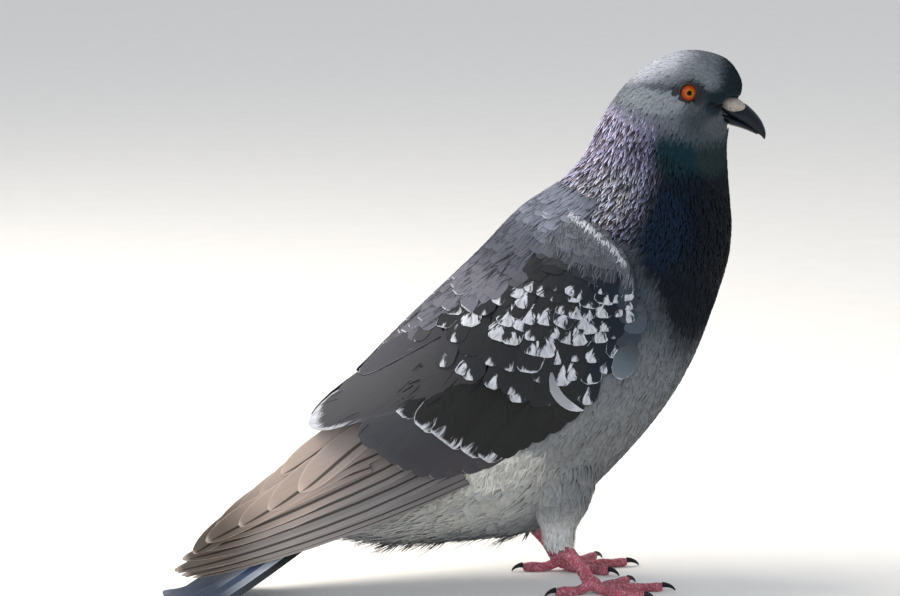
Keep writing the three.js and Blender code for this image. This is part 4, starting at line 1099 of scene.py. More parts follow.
def greater_coverts(side, made):
    """The last row, long and dark with white corners."""
    tips, angle = row_points(151, 7.8, 0.3, (-2, 80))
    tips = tips + 0.7 * rng.normal(size=tips.shape)
    size = 42 * jitter(len(tips), 0.03)
    slope = np.radians(np.interp(angle, [15, 70], [34, 46]))
    roots = tips + size[:, None] * np.stack([np.sin(slope), np.cos(slope)], 1)
    keep = (tips[:, 1] < 98) & (tips[:, 0] > -34) & (tips[:, 0] < 14)
    tips, roots = tips[keep], roots[keep]
    # the ones along the lower front edge are shorter, with plain tips
    more = np.array([[13, 66.5], [20, 70], [27, 73.5], [34, 77.5], [41, 82]])
    slope = np.radians(np.linspace(36, 30, len(more)))
    more_roots = more + 34 * np.stack([np.sin(slope), np.cos(slope)], 1)
    plain = np.concatenate([tips[:, 0] > 9, np.ones(len(more), bool)])
    tips, roots = np.concatenate([tips, more]), np.concatenate([roots, more_roots])
    n = len(tips)
    t, a, turn, length = aim(wing, find, roots, tips)
    points = lay(wing, t, a, turn, length, 6.8 * jitter(n, 0.06), (-1.6, 0.2 * rng.random(n)),
                 profile=SQUARE, lanes=4, camber=0.04, thick=0.06, fray=0.03, bend=0.05)
    broad = np.where(plain, 0.0, 0.95)
    mark = np.stack([0.2 * jitter(n, 0.3), broad, np.where(plain, 0.0, 0.06)], 1)
    made.add(mirrored(points, side), SQUARE, 4, t, side_angle(a, side),
             tinted(points, [0.9, 1.0, 1.0], sway=0.02, field=covert_colour), mark)


# the pale line where the wing's front edge meets the neck, and the vane of one white hooked edge
WHITE_EDGE = np.array([[48.4, 168.2], [56, 162.2], [64.7, 153.5], [70.2, 144.8], [72.4, 136.2], [73.1, 127.7]])
HOOK = ([0, 0.1, 0.2, 0.3, 0.4, 0.5, 0.6, 0.7, 0.8, 0.9, 1], [0.2, 0.6, 0.85, 1, 1, 1, 1, 0.95, 0.8, 0.5, 0.1])


def wing_front(side, made):
    """Pale strands along the upper front edge, fewer downwards, and grey ones over the shoulder."""
    for count, scatter, code, reach, last in ((300, 9.0, "#595c64", 7.0, 0.5), (200, 2.0, "#6b6e76", 5.0, 0.7),
                                              (160, 0.4, "#b6b9c1", 3.4, 0.55)):
        along = last * rng.random(count) ** 1.4 * (len(WHITE_EDGE) - 1)
        i = np.minimum(along.astype(int), len(WHITE_EDGE) - 2)
        f = (along - i)[:, None]
        place = WHITE_EDGE[i] * (1 - f) + WHITE_EDGE[i + 1] * f
        inward = np.stack([-np.ones(count), -0.45 * np.ones(count)], 1)
        place = place + inward * np.minimum(np.abs(rng.normal(size=(count, 1))), 1.4) * scatter
        slope = np.radians(rng.normal(24, 14, count))
        tips = place - reach * jitter(count, 0.3)[:, None] * np.stack([np.sin(slope), np.cos(slope)], 1)
        t, a, turn, length = aim(wing, find, place, tips)
        points = lay(wing, t, a, turn, length, rng.uniform(0.15, 0.4, count),
                     (-0.2, rng.uniform(0.3, 0.55, count)), profile=STRAND, thick=0.05, bend=0.2)
        tint = linear(code) * jitter(count, 0.25)[:, None]
        made.add(mirrored(points, side), STRAND, 2, t, side_angle(a, side), tint)
    # one loose pale feather on the front edge
    t, a, turn, length = aim(wing, find, np.array([[70.5, 114.5]]), np.array([[65.0, 98.5]]))
    points = lay(wing, t, a, turn, length, 6.0, (0.0, 1.0), profile=ROUND, lanes=4, camber=0.06)
    shade = np.array([0.5, 0.6, 0.75, 0.95, 1.1, 1.2])[None, :, None]
    made.add(mirrored(points, side), ROUND, 4, t, side_angle(a, side), linear("#5c656e") * shade,
             np.array([[0.3, 0.0, 0.06]]))
    # the hook: a white edge that runs down and turns forward
    t, a, turn, length = aim(wing, find, np.array([[34.6, 103]]), np.array([[50.5, 86.8]]))
    points = lay(wing, t, a, turn, 1.1 * length, 2.1, (0.3, 0.6), profile=HOOK, bend=1.3)
    made.add(mirrored(points, side), HOOK, 2, t, side_angle(a, side), linear("#93969d")[None],
             np.array([[0.3, 0.0, 0.35]]))


for side, name in ((RIGHT, "right"), (LEFT, "left")):
    made = Coat()
    greater_coverts(side, made)
    covert_rows(side, made)
    wing_front(side, made)
    made.piece(f"wing_coverts_{name}", WING, "wing_coverts", [f"wing_{name}"])

# %% [markdown]
# ## Flight feathers
# A flight feather is long and stiff, with a straight shaft. In the folded wing the inner ones lie on top
# of the outer ones, so of most of them only a strip and the tip show. Tertials and secondaries lie on the
# wing's own surface, and the ten primaries on the folded hand, which reaches back over the tail.

# %% Flight feathers
LONG = ([*np.linspace(0, 0.9, 8), 0.955, 0.985, 1],
        [0.5, 0.72, 0.88, 0.97, 1, 1, 0.97, 0.86, 0.66, 0.44, 0.18])
PRIMARY = ([0, 0.15, 0.3, 0.45, 0.58, 0.7, 0.8, 0.88, 0.94, 0.98, 1],
           [0.55, 0.75, 0.9, 0.97, 1, 0.96, 0.86, 0.7, 0.5, 0.3, 0.12])
BROAD = ([0, 0.2, 0.4, 0.6, 0.75, 0.86, 0.93, 0.975, 1], [0.6, 0.8, 0.95, 1, 0.99, 0.91, 0.76, 0.52, 0.22])
TERTIALS = np.array([   # root x, z, tip x, z, half width, white rim; each one lies over those below it
    [6, 95, -37, 66.5, 8, 0.0], [4, 99, -44, 71, 9, 0.0], [-4, 113, -50, 90, 10, 0.0],
    [2, 106, -64.0, 79.6, 12.3, 0.14], [-8, 121, -44, 101, 9, 0.03]])
SECONDARIES = np.array([
    [34, 85, 5, 60.5, 5.2, 0.0], [30, 87, -1, 58, 5.6, 0.02], [26, 89, -7.5, 56, 6, 0.0],
    [21, 91, -14, 55, 6.2, 0.02], [17, 94, -20.5, 56, 6.5, 0.0], [13, 97, -27, 59, 6.5, 0.02],
    [10, 100, -32, 62, 6.5, 0.0]])


def inner_colour(p):
    """Dark grey-brown, bluer towards the back."""
    x, _, z = np.moveaxis(p, -1, 0)
    colour = np.broadcast_to(linear("#3b3c40"), p.shape).copy()
    colour = blend(colour, "#38373b", smoothstep(74 - z, 0, 12))
    return blend(colour, "#44454b", smoothstep(z, 76, 96) * smoothstep(-x, 28, 50))


def primary_colour(p):
    """Warm grey-brown, lighter next to the tertials and dark at the tips, and greyer and darker in the lower
    strips towards the front, a painted shade under the tertials.
    """
    x, _, z = np.moveaxis(p, -1, 0)
    colour = np.broadcast_to(linear("#7e7a78"), p.shape).copy()
    above = z - np.interp(x, [-116, -60, 0], [14, 36, 62])
    colour = blend(colour, "#a09188", smoothstep(above, 5, 15))
    # painted shade: greyer and darker towards the front, under the tertials
    colour = blend(colour, "#6d6b6d", smoothstep(x, -70, -42) * 0.7)
    return blend(colour, "#463e37", smoothstep(-x, 76, 102) * 0.88)


# the folded hand, from the lowest layer to the top one: tip x, z, slope in degrees from tip to root, half
# width, length, bend. The five with a slope of 37 make the straight upper edge.
PRIMARIES = np.array([
    [-112.5, 13.6, 20.2, 2.4, 121, -0.15], [-117.0, 14.4, 20.2, 3.4, 124, -0.15],
    [-120.5, 16.8, 20.6, 4.6, 120, -0.15], [-116.5, 21.0, 21.2, 5.2, 110, -0.12],
    [-111.5, 25.0, 22.5, 5.6, 100, -0.1], [-101.0, 29.5, 25, 5.8, 88, 0.0],
    [-112.0, 22.5, 37, 4.8, 44, 0.1], [-102.8, 31.0, 37, 4.8, 46, 0.1], [-93.0, 38.6, 37, 4.8, 46, 0.1],
    [-83.2, 46.4, 37, 4.8, 46, 0.1], [-73.5, 55.0, 37, 4.8, 46, 0.1],
    [-105.8, 26.2, 27, 5.8, 76, 0.3], [-91.8, 33.2, 30, 6.0, 68, 0.3], [-79.5, 40.2, 35, 6.4, 58, 0.3],
    [-66.6, 48.2, 40, 6.4, 50, 0.3]])

for side, name in ((RIGHT, "right"), (LEFT, "left")):
    inner = Coat()
    shift = np.array([0, 0]) if side == RIGHT else np.array([3.0, -4.0])
    for table, base, step in ((SECONDARIES, -1.6, 0.1), (TERTIALS, -0.8, 0.28)):
        t, a, turn, length = aim(wing, find, table[:, :2], table[:, 2:4] + 1.7 * shift)
        n = len(t)
        rise = base + step * np.arange(n)
        points = lay(wing, t, a, turn, length, table[:, 4] * jitter(n, 0.03), (rise - 0.9, rise + 0.7),
                     profile=BROAD, lanes=6, camber=0.035, thick=0.1, bend=0.05, fray=0.01)
        mark = np.stack([np.ones(n), np.zeros(n), table[:, 5]], 1)
        inner.add(mirrored(points, side), BROAD, 6, t, side_angle(a, side),
                  tinted(points, [0.9, 1.0, 1.0], sway=0.03, field=inner_colour), mark)
    # dark slivers of painted shade where barbs part on the tertials
    shade_slivers(inner, in_box(6, (-54, -38), (80, 91)), 36, 8.5, "#222327", 1.15, (side,))
    inner.piece(f"inner_flight_feathers_{name}", FLIGHT, "inner_flight_feathers", [f"secondaries_{name}"])

    outer = Coat()
    tips, slope, half, reach, bend = PRIMARIES[:, :2] + shift, np.radians(PRIMARIES[:, 2]), *PRIMARIES[:, 3:].T
    roots = tips + reach[:, None] * np.stack([np.cos(slope), np.sin(slope)], 1)
    t, a, turn, length = aim(hand, hand_find, roots, tips)
    n = len(tips)
    rise = 0.2 * np.arange(n)
    points = lay(hand, t, a, turn, length, half, (rise - 0.4, rise + 0.05), profile=PRIMARY, lanes=8, camber=0.03,
                 thick=0.1, bend=bend)
    tint = primary_colour(points.mean(axis=2)) * jitter(n, 0.06)[:, None, None]
    mark = np.stack([np.ones(n), np.zeros(n), np.full(n, 0.05)], 1)
    outer.add(mirrored(points, side), PRIMARY, 8, t * 0.9, side_angle(TURN * np.mod(-a, 1) / 4, side), tint, mark)
    outer.piece(f"outer_flight_feathers_{name}", HAND_FLIGHT, "outer_flight_feathers", [f"primaries_{name}"])

# %% [markdown]
# ## Tail
# Twelve stiff feathers make the tail. They are blue-grey with a broad dark band near the end, and the
# middle pair lies on top.

# %% Tail feathers
def tail_ramp(points, base):
    """Each feather's own grey, with a dark band from 62% to 92% of the length."""
    s = np.array(LONG[0])
    band = smoothstep(s, 0.6, 0.7) * (1 - 0.35 * smoothstep(s, 0.93, 0.99))
    colour = np.broadcast_to(base[:, None], (points.shape[0], len(s), 3))
    return colour + (linear("#2f3745") - colour) * band[None, :, None]


RECTRICES = 12     # the stiff feathers of the tail
order = np.arange(RECTRICES)
places = (order + 0.5) / 6 - 1
t, a = np.full(RECTRICES, 0.04), places * 0.93
rise = 0.32 * (6 - np.abs(order - 5.5))
length = 107 - 3 * places ** 2
points = lay(tail, t, a, 0.0, length, 6.9, (rise - 1.0, rise - 1.2), profile=LONG, lanes=6, camber=0.05,
             thick=0.13)
rectrices = Coat()
# from the middle outwards: grey, blue, pale and, outermost, black with a green tone
greys = np.array([linear(code) for code in ("#1f2424", "#8f95a0", "#31405c", "#7b808a", "#696c74", "#63666e")])
rectrices.add(points, LONG, 6, t, TURN * (0.5 + a / 8), tail_ramp(points, np.concatenate([greys, greys[::-1]])))
# coverts over and under the root of the tail
for flip, count, reach, base in ((1, 26, 30, 1.6), (-1, 30, 24, -3.4)):
    t = rng.uniform(0.03, 0.12, count)
    a = rng.uniform(-0.9, 0.9, count)
    high = base + 0.5 * rng.random(count)
    points = lay(tail, t, a, 0.08 * rng.normal(size=count), reach * jitter(count, 0.15), 5.2 * jitter(count, 0.15),
                 (high - 0.4 * flip, high), profile=ROUND, lanes=4, camber=0.1 * flip)
    rectrices.add(points, ROUND, 4, t, TURN * (0.5 + a / 8), tinted(points, [0.9, 1, 1.05], field=plumage))
rectrices.piece("tail_feathers", FLIGHT, "tail_feathers", ["tail"])

# %% [markdown]
# ## Thighs
# The feathered part of the leg is a cone of soft feathers that ends in a cuff above the bare red foot.

# %% Thigh feathers
FOOT_HALF_SPREAD = 21
STAGGER = {RIGHT: 1.5, LEFT: -3}


def ankle(side):
    """Where the bare leg comes out of the feathers."""
    return 42.5 + STAGGER[side], side * FOOT_HALF_SPREAD, 22.5


def hub(side):
    """The ball of the foot, where the toes meet."""
    return 57.5 + STAGGER[side], side * FOOT_HALF_SPREAD, 4.6


def thigh(side, slimmer=0.0):
    x, y, z = ankle(side)
    rows = [[x + 9, y - side * 13, z + 58, 6, 12], [x + 2.5, y - side * 4, z + 36, 11.5, 16],
            [x, y - side * 0.5, z + 18, 10.5, 12.5], [x - 0.5, y, z + 8, 7.2, 7.6],
            [x, y, z + 1.5, 5.7, 6.4], [x + 1.5, y, z - 2, 4.4, 5.0]]
    rows = np.array(rows) - np.array([0, 0, 0, slimmer, slimmer])
    return tube(rows, (1, 0, 0))


def thigh_colour(p):
    """The belly's grey, palest above the foot."""
    return blend(plumage(p), "#b4b6b5", smoothstep(42 - p[..., 2], 0, 16))


def outside(surface, t, a, spacing):
    """Drops the roots that lie more than 2 mm inside the body."""
    x, y, z = surface(t, a).T
    keep = np.abs(y) > np.abs(body(*find(x, z, 0.0))[:, 1]) - 2
    return t[keep], a[keep], spacing[keep]


thighs = Coat()
for side in (RIGHT, LEFT):
    surface = thigh(side)
    t, a, spacing = tract(surface, (0.04, 0.72), (0, TURN), 3.4, lambda t, a: 3.6 - 1.2 * t, wobble=0.35)
    t, a, spacing = outside(surface, t, a, spacing)
    n = len(t)
    half = np.clip(spacing * 0.8, 1.0, 3.0) * jitter(n, 0.15)
    points = lay(surface, t, a, 0.2 * rng.normal(size=n), 3.7 * half * jitter(n, 0.2), half,
                 (-1.2, 0.1 + 0.3 * rng.random(n) ** 2), camber=0.1, thick=0.06)
    thighs.add(points, ROUND, 2, 0.7 + 0.2 * t, side_angle(1.6 + 0.12 * a, side),
               tinted(points, [0.9, 1, 1.0], sway=0.03, field=thigh_colour))
    # loose barbs over them, long and ragged at the cuff
    t, a, spacing = tract(surface, (0.04, 0.78), (0, TURN), 1.5, lambda t, a: 2.2 - 0.8 * t, wobble=0.45)
    t, a, spacing = outside(surface, t, a, spacing)
    n = len(t)
    cuff = smoothstep(t, 0.5, 0.8)
    half = np.clip(spacing * 0.5, 0.3, 0.65) * jitter(n, 0.3)
    points = strands(surface, t, a, half, rng.uniform(5, 8, n) * (1 - 0.4 * cuff),
                     (-0.4, 0.25 + 0.5 * rng.random(n) + 1.2 * cuff * rng.random(n) ** 3), turn=0.25)
    thighs.add(points, STRAND, 2, 0.7 + 0.2 * t, side_angle(1.6 + 0.12 * a, side),
               tinted(points, [0.92, 1, 1.06], sway=0.03, field=thigh_colour) * jitter(n, 0.1)[:, None, None])
thighs.piece("thigh_feathers", DOWN, "thigh_feathers")

# %% [markdown]
# ## Rump
# Between the folded wings the rump shows from behind: rows of rounded grey feathers run down to the tail,
# with loose barbs over them. They are laid like the body's, but along the middle of the back. Three rows
# of longer feathers, the upper tail coverts, bridge the step from the rump down to the tail.

# %% Rump
BACK = (-0.42 * np.pi, 0.42 * np.pi)
RUMP_HALF = 17     # half the width of the gap between the wings that the feathers fill


def rump_colour(p):
    """The body's grey, turning into the tail's blue-grey towards the back."""
    return blend(plumage(p), "#5d616a", smoothstep(-p[..., 0], 62, 88))


rump = Coat()
t, a, spacing = tract(coat, (0.5, 0.955), BACK, 6.0, lambda t, a: 4.6, wobble=0.3)
keep = np.abs(coat(t, a)[:, 1]) < RUMP_HALF
t, a, spacing = t[keep], a[keep], spacing[keep]
n = len(t)
half = np.clip(spacing * 0.8, 2.5, 5.0) * jitter(n, 0.15)
points = lay(coat, t, a, 0.12 * rng.normal(size=n), 3.2 * half * jitter(n, 0.12), half,
             (-1.6, 0.1 + 0.15 * rng.random(n)), camber=0.06, thick=0.05, fray=0.1)
rump.add(points, ROUND, 2, t, a, tinted(points, [0.9, 0.97, 1.0, 1.02], sway=0.04))
print("rump feathers:", n)
# loose barbs over them
t, a, _ = tract(coat, (0.5, 0.945), BACK, 1.6, lambda t, a: 2.6, wobble=0.45)
keep = np.abs(coat(t, a)[:, 1]) < RUMP_HALF - 2
t, a = t[keep], a[keep]
n = len(t)
points = strands(coat, t, a, rng.uniform(0.35, 0.7, n), rng.uniform(5, 8, n),
                 (-0.4, 0.35 + 0.25 * rng.random(n)), turn=0.15)
rump.add(points, STRAND, 2, t, a, tinted(points, [0.96, 1.0, 1.04], sway=0.05))
print("rump barbs:", n)
# the upper tail coverts: where along the tail their roots are, their length, and how high the root and
# the tip stand above the tail
n = 6
for at, reach, root, tip in ((0.2, 37, 9.0, 1.8), (0.18, 31, 10.5, 4.5), (0.16, 26, 12.5, 8.0)):
    a = np.linspace(-0.34, 0.34, n) + 0.03 * rng.normal(size=n)
    t = at + 0.01 * rng.normal(size=n)
    points = lay(tail, t, a, 0.06 * rng.normal(size=n), reach * jitter(n, 0.08), 4.4 * jitter(n, 0.1),
                 (root, tip + 0.4 * rng.random(n)), profile=ROUND, lanes=4, camber=0.12, fray=0.06)
    tint = tinted(points, [0.92, 1, 1, 1], sway=0.03, field=rump_colour)
    rump.add(points, ROUND, 4, t, TURN * (0.5 + a / 8), tint)
rump.piece("rump_feathers", DOWN, "body_feathers")

# %% [markdown]
# ## The skin
# Under the coat lies one closed skin: body, lids, thighs, bare legs and toes. Each part is a smooth closed
# surface; a boolean union joins them, so that nothing shows a seam. The body part is the same function
# as before, moved inwards by the coat's depth. The bare legs carry horny plates, the scutes, which are
# modelled as steps about 1.4 mm apart on the upper side.

# %% Body under the coat
def skin_body():
    """The body function moved inwards by the coat's depth, with the folded wings' form under the wings."""
    t, a = np.meshgrid(np.linspace(0.004, 0.995, 190), np.linspace(0, TURN, 112, endpoint=False), indexing="ij")
    x, _, z = np.moveaxis(body(t, a), -1, 0)
    raised = smoothstep(depth_in(x, z, WING_OUTLINE), -1, 6)
    mantle_share = smoothstep(z - border_z(x), -1, 6) * smoothstep(x, -30, -12) * smoothstep(48 - x, 0, 10)
    raised = np.maximum(raised, mantle_share) * smoothstep(t, 0.46, 0.54)
    surface = lambda t, a: body(t, a, raised)
    p, _, _, normal = slopes(surface, t, a)
    depth = np.interp(t, [0, 0.3, 0.45, 0.6, 0.95], [0.75, 0.9, 1.5, 2.3, 2.2])
    depth = depth + 2.2 * smoothstep(depth_in(x, z, HAND_OUTLINE), -3, 3) * (x < -15)
    p = p - normal * depth[..., None]
    # the face draws in round the root of the bill, so that the bill and the cere stand out of it
    p[..., 1] *= 1 - 0.72 * smoothstep(depth_in(p[..., 0], p[..., 2], BEAK_WEDGE), -0.9, 0.8)
    return capped_loft(p)


def ring_solid(centre, side):
    """The lids: a closed ring round the eye. The profile is radius and distance from the mid plane, and
    the opening is drawn out to a small corner towards the front and down."""
    profile = np.array([[3.6, 10.3], [3.65, 11.15], [3.75, 11.5], [3.9, 11.62], [4.15, 11.45], [4.35, 11.45],
                        [4.65, 11.2], [5.0, 10.7], [5.5, 10.1], [5.5, 8.6], [4.0, 8.4]])
    turn = np.linspace(0, TURN, 72, endpoint=False)
    away = np.mod(turn + 0.62 + np.pi, TURN) - np.pi
    corner = 1.3 * np.exp(-(away / 0.34) ** 2)
    near = np.clip((5.5 - profile[:, 0]) / 2, 0, 1)
    radius = profile[None, :, 0] + (corner + 0.25 * np.cos(2 * (turn + 0.62)))[:, None] * near[None]
    wrinkle = 0.05 * np.sin(turn * 23)[:, None] * np.clip((profile[:, 0] - 3.5) / 0.6, 0, 1)[None]
    out = profile[None, :, 1] + wrinkle
    points = np.stack([centre[0] + radius * np.cos(turn)[:, None], side * out,
                       centre[1] + radius * 0.95 * np.sin(turn)[:, None]], -1)
    ring = points.shape[1]
    quads = grid_quads(len(turn) + 1, ring) % (len(turn) * ring)
    return points.reshape(-1, 3), quads


TOES = {   # heading outwards in degrees, reach, claw length, joints
    "inner": (-34, 21, 6.5, 2), "middle": (3, 29, 7.5, 3), "outer": (38, 23, 6.5, 2), "hind": (174, 15.5, 6.5, 1)}
TOE_HEIGHT = 1.9    # of a toe's middle line above the floor


def toe_way(side, heading):
    """The way a toe points on the floor, and where it starts, 1.5 mm ahead of the hub."""
    angle = math.radians(heading)
    ahead = np.array([math.cos(angle), side * math.sin(angle), 0])
    return ahead, np.array([*hub(side)[:2], 0]) + 1.5 * ahead


def toe_rows(side, heading, reach, joints):
    """Rows for a tube: at each joint the toe gets narrower and then thicker again, like a pad."""
    ahead, start = toe_way(side, heading)
    stations = [(-2.0, TOE_HEIGHT + 1.2, 1.9, 1.9), (0, TOE_HEIGHT + (2.0 if joints == 1 else 1.4), 2.2, 2.2)]
    for j in range(joints):
        stations.append((reach * (j + 0.35) / joints, TOE_HEIGHT - 0.1, 1.65 - 0.1 * j, 2.0 - 0.1 * j))
        stations.append((reach * (j + 0.75) / joints, TOE_HEIGHT - 0.05, 2.0 - 0.15 * j, 2.15 - 0.1 * j))
    stations.append((reach, TOE_HEIGHT + 0.1, 1.3, 1.5))
    return np.array([[*(start + along * ahead)[:2], z, wide, deep] for along, z, wide, deep in stations])


def scaly(surface, rows, ring, length, top, pitch=1.4, height=0.22):
    """A tube with plates: a step of height * (1 - (2 f - 1)^6) on the side whose angle is near top."""
    t, a = np.meshgrid(np.linspace(0, 1, rows), np.linspace(0, TURN, ring, endpoint=False), indexing="ij")
    p, _, _, normal = slopes(surface, t, a)
    f = np.mod(t * length / pitch, 1)
    facing = smoothstep(np.cos(a - top), 0.1, 0.5)
    grain = 0.07 * np.sin(t * length * 5.2 + 2 * np.sin(a * 5)) * np.sin(a * 9 + t * length * 1.5) * (1 - facing)
    p = p + normal * (height * (1 - (2 * f - 1) ** 6) * facing + grain)[..., None]
    p[..., 2] = np.maximum(p[..., 2], 0.0)
    return capped_loft(p)


def tarsus(side):
    """The bare leg, a tube from the ankle down to the hub."""
    ax, y, az = ankle(side)
    hx, _, hz = hub(side)
    return tube([[ax - 1, y, az + 3, 2.6, 3.4], [ax + 2.5, y, az - 1.5, 2.5, 3.0],
                 [(ax + hx) / 2 + 1, y, (az + hz) / 2, 2.1, 2.5], [hx - 2, y, hz + 2, 2.6, 2.9],
                 [hx + 1, y, hz - 0.6, 3.2, 3.0], [hx + 3, y, hz - 1.8, 2.2, 1.9]], (1, 0, 0))


def plain_tube(surface, rows, ring):
    """A tube without plates."""
    t, a = np.meshgrid(np.linspace(0, 1, rows), np.linspace(0, TURN, ring, endpoint=False), indexing="ij")
    return capped_loft(surface(t, a))


print("toes, reach and claw (mm):", {toe: values[1:3] for toe, values in TOES.items()})


# %% Joining the skin
def skin_colour(p):
    """The coat's markings on the feathered parts, dark bare lids, and red legs with pale specks, which are pale
    plate edges and painted highlights on the scales.
    """
    x, y, z = np.moveaxis(p, -1, 0)
    colour = plumage(p) * 0.62
    leg = smoothstep(np.maximum(0.9 * (x - 42) + (z - 22.5) * 0.3, 22 - z), 0.0, 4.0) * smoothstep(30 - z, 0, 6)
    leg = np.where(z < 16, 1.0, leg) * (np.abs(y) > 3)
    waves = 1 + 0.3 * np.sin(x * 2.1 + z * 3.3) * np.sin(y * 2.7)
    red = np.broadcast_to(linear("#a34a5a"), p.shape) * waves[..., None]
    # pale specks: pale plate edges, and painted highlights on the scales
    red = blend(red, "#c9a3ab", (rng.random(x.shape) < 0.16) * 0.75)
    colour = colour + (red - colour) * leg[..., None]
    from_eye = np.hypot(x - EYE[0], z - EYE[1])
    colour = blend(colour, "#100f11", smoothstep(5.8 - from_eye, 0, 0.8) * (np.abs(y) > 7))
    corner = np.hypot(x - EYE[0] - 3.9, z - EYE[1] + 2.6)
    return blend(colour, "#7a4a44", smoothstep(1.3 - corner, 0, 0.8) * (np.abs(y) > 9) * 0.8)


def union(base, others):
    """Adds closed objects to the first one with boolean modifiers, and keeps only the resulting mesh."""
    for other in others:
        step = base.modifiers.new("join", "BOOLEAN")
        step.operation, step.solver, step.object = "UNION", "MANIFOLD", other
    graph = bpy.context.evaluated_depsgraph_get()
    mesh = bpy.data.meshes.new_from_object(base.evaluated_get(graph))
    for piece in [base, *others]:
        bpy.data.objects.remove(piece)
    return mesh


skin_finish, tree, shader = new_material("bird_skin_dry", 0.55)
tint = add_node(tree, "ShaderNodeAttribute", attribute_name="tint")
spot_at = add_node(tree, "ShaderNodeTexCoord").outputs["Object"]
# pebbled scales about 0.8 mm apart on the legs, and follicles of the same size on the body
pebbles = add_node(tree, "ShaderNodeTexVoronoi", {"Vector": spot_at, "Scale": 1250.0}, feature="DISTANCE_TO_EDGE")
dust = add_node(tree, "ShaderNodeTexNoise", {"Vector": spot_at, "Scale": 260.0, "Detail": 4.0}).outputs[0]
light = add_node(tree, "ShaderNodeMapRange", {"Value": dust, "From Min": 0.3, "From Max": 0.7,
                                              "To Min": 0.75, "To Max": 1.3})
groove = add_node(tree, "ShaderNodeMapRange", {"Value": pebbles.outputs[0], "From Max": 0.12,
                                               "To Min": 0.72, "To Max": 1.0})
light = add_node(tree, "ShaderNodeMath", {0: light.outputs[0], 1: groove.outputs[0]}, operation="MULTIPLY")
colour = add_node(tree, "ShaderNodeVectorMath", {0: tint.outputs["Color"], "Scale": light.outputs[0]},
                  operation="SCALE")
tree.links.new(colour.outputs[0], shader.inputs["Base Color"])
bump = add_node(tree, "ShaderNodeBump", {"Height": groove.outputs[0], "Distance": 0.00012, "Strength": 0.7})
tree.links.new(bump.outputs[0], shader.inputs["Normal"])

shapes = [skin_body()]
for side in (RIGHT, LEFT):
    shapes += [ring_solid(EYE, side), plain_tube(thigh(side, 0.9), 40, 32),
               scaly(tarsus(side), 110, 28, 30, -TURN / 4)]
    for heading, reach, _, joints in TOES.values():
        rows = toe_rows(side, heading, reach, joints)
        shapes.append(scaly(tube(rows, (0, 0, 1)), int(reach * 5), 24, reach + 2, TURN / 4))
solids = [make_mesh("skin_part", v, outward(v, f), skin_finish) for v, f in shapes]
mesh = union(solids[0], solids[1:])
places = np.empty(3 * len(mesh.vertices), np.float32)
mesh.vertices.foreach_get("co", places)
places = places.reshape(-1, 3) / MM + [MIDDLE, 0, 0]
layer = mesh.attributes.new("tint", "FLOAT_COLOR", "POINT")
tints = np.concatenate([skin_colour(places), np.ones((len(places), 1))], 1)
layer.data.foreach_set("color", tints.astype(np.float32).ravel())
mesh.polygons.foreach_set("use_smooth", np.ones(len(mesh.polygons), bool))
skin = bpy.data.objects.new("skin", mesh)
bpy.context.scene.collection.objects.link(skin)
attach(skin, "root")
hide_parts("head", "neck", "trunk", *[f"{part}_{name}" for name in ("right", "left") for part in
            ("thigh", "tarsus", "toe_inner", "toe_middle", "toe_outer", "toe_hind")])
print("skin:", len(mesh.vertices), "points, box", places.min(0).round(1).tolist(), places.max(0).round(1).tolist())

# %% [markdown]
# ## Eyes
# The eyeball is a smooth ball with a wet, clear surface. The iris of a pigeon is orange-red with a golden
# ring round the small black pupil. The colours depend on the distance from the ball's outward axis.

# %% Eyes
EYEBALL, EYE_OUT = 5.0, 7.6    # radius of the ball, and how far its middle is from the mid plane
eye_finish, tree, shader = new_material("wet_cornea_over_iris", 0.3, **{
    "Coat Weight": 0.15, "Coat Roughness": 0.03, "Specular IOR Level": 0.06})
spot_at = add_node(tree, "ShaderNodeTexCoord").outputs["Object"]
eye_at = ((EYE[0] - MIDDLE) * MM, 0, EYE[1] * MM)
axis = add_node(tree, "ShaderNodeVectorMath", {0: spot_at, 1: eye_at}, operation="SUBTRACT")
flat = add_node(tree, "ShaderNodeVectorMath", {0: axis.outputs[0], 1: (1, 0, 1)}, operation="MULTIPLY").outputs[0]
radius = add_node(tree, "ShaderNodeVectorMath", {0: flat}, operation="LENGTH").outputs["Value"]
fibres = add_node(tree, "ShaderNodeTexNoise", {"Vector": flat, "Scale": 1500.0, "Detail": 3.0}).outputs[0]
wave = add_node(tree, "ShaderNodeMath", {0: fibres, 1: 0.0007, 2: radius}, operation="MULTIPLY_ADD").outputs[0]
# the share of the way from the pupil's middle to the lids, 4.2 mm
share = add_node(tree, "ShaderNodeMath", {0: wave, 1: 0.0042}, operation="DIVIDE").outputs[0]
ramp = add_node(tree, "ShaderNodeValToRGB", {0: share})
for place, code in ((0.0, "#020202"), (0.32, "#040302"), (0.37, "#8a5c10"), (0.47, "#a35a0c"), (0.58, "#963c06"),
                    (0.8, "#842a05"), (0.92, "#5a1704"), (0.99, "#140604")):
    stop = ramp.color_ramp.elements.new(place) if place > 0 else ramp.color_ramp.elements[0]
    stop.position, stop.color = place, rgba(code)
ramp.color_ramp.elements[-1].color = rgba("#1a0a06")
tree.links.new(ramp.outputs[0], shader.inputs["Base Color"])


def ball(side, rows=36, ring=48):
    """A sphere whose rings stand round the outward axis: radius sin(u), height cos(u), u from 0 to pi."""
    u = np.linspace(0.02, np.pi - 0.02, rows)[:, None]
    v = np.linspace(0, TURN, ring, endpoint=False)[None]
    x, z = EYE[0] + EYEBALL * np.sin(u) * np.cos(v), EYE[1] + EYEBALL * np.sin(u) * np.sin(v)
    y = side * (EYE_OUT + EYEBALL * np.cos(u)) + 0 * v
    return capped_loft(np.stack([x, y, z], -1))


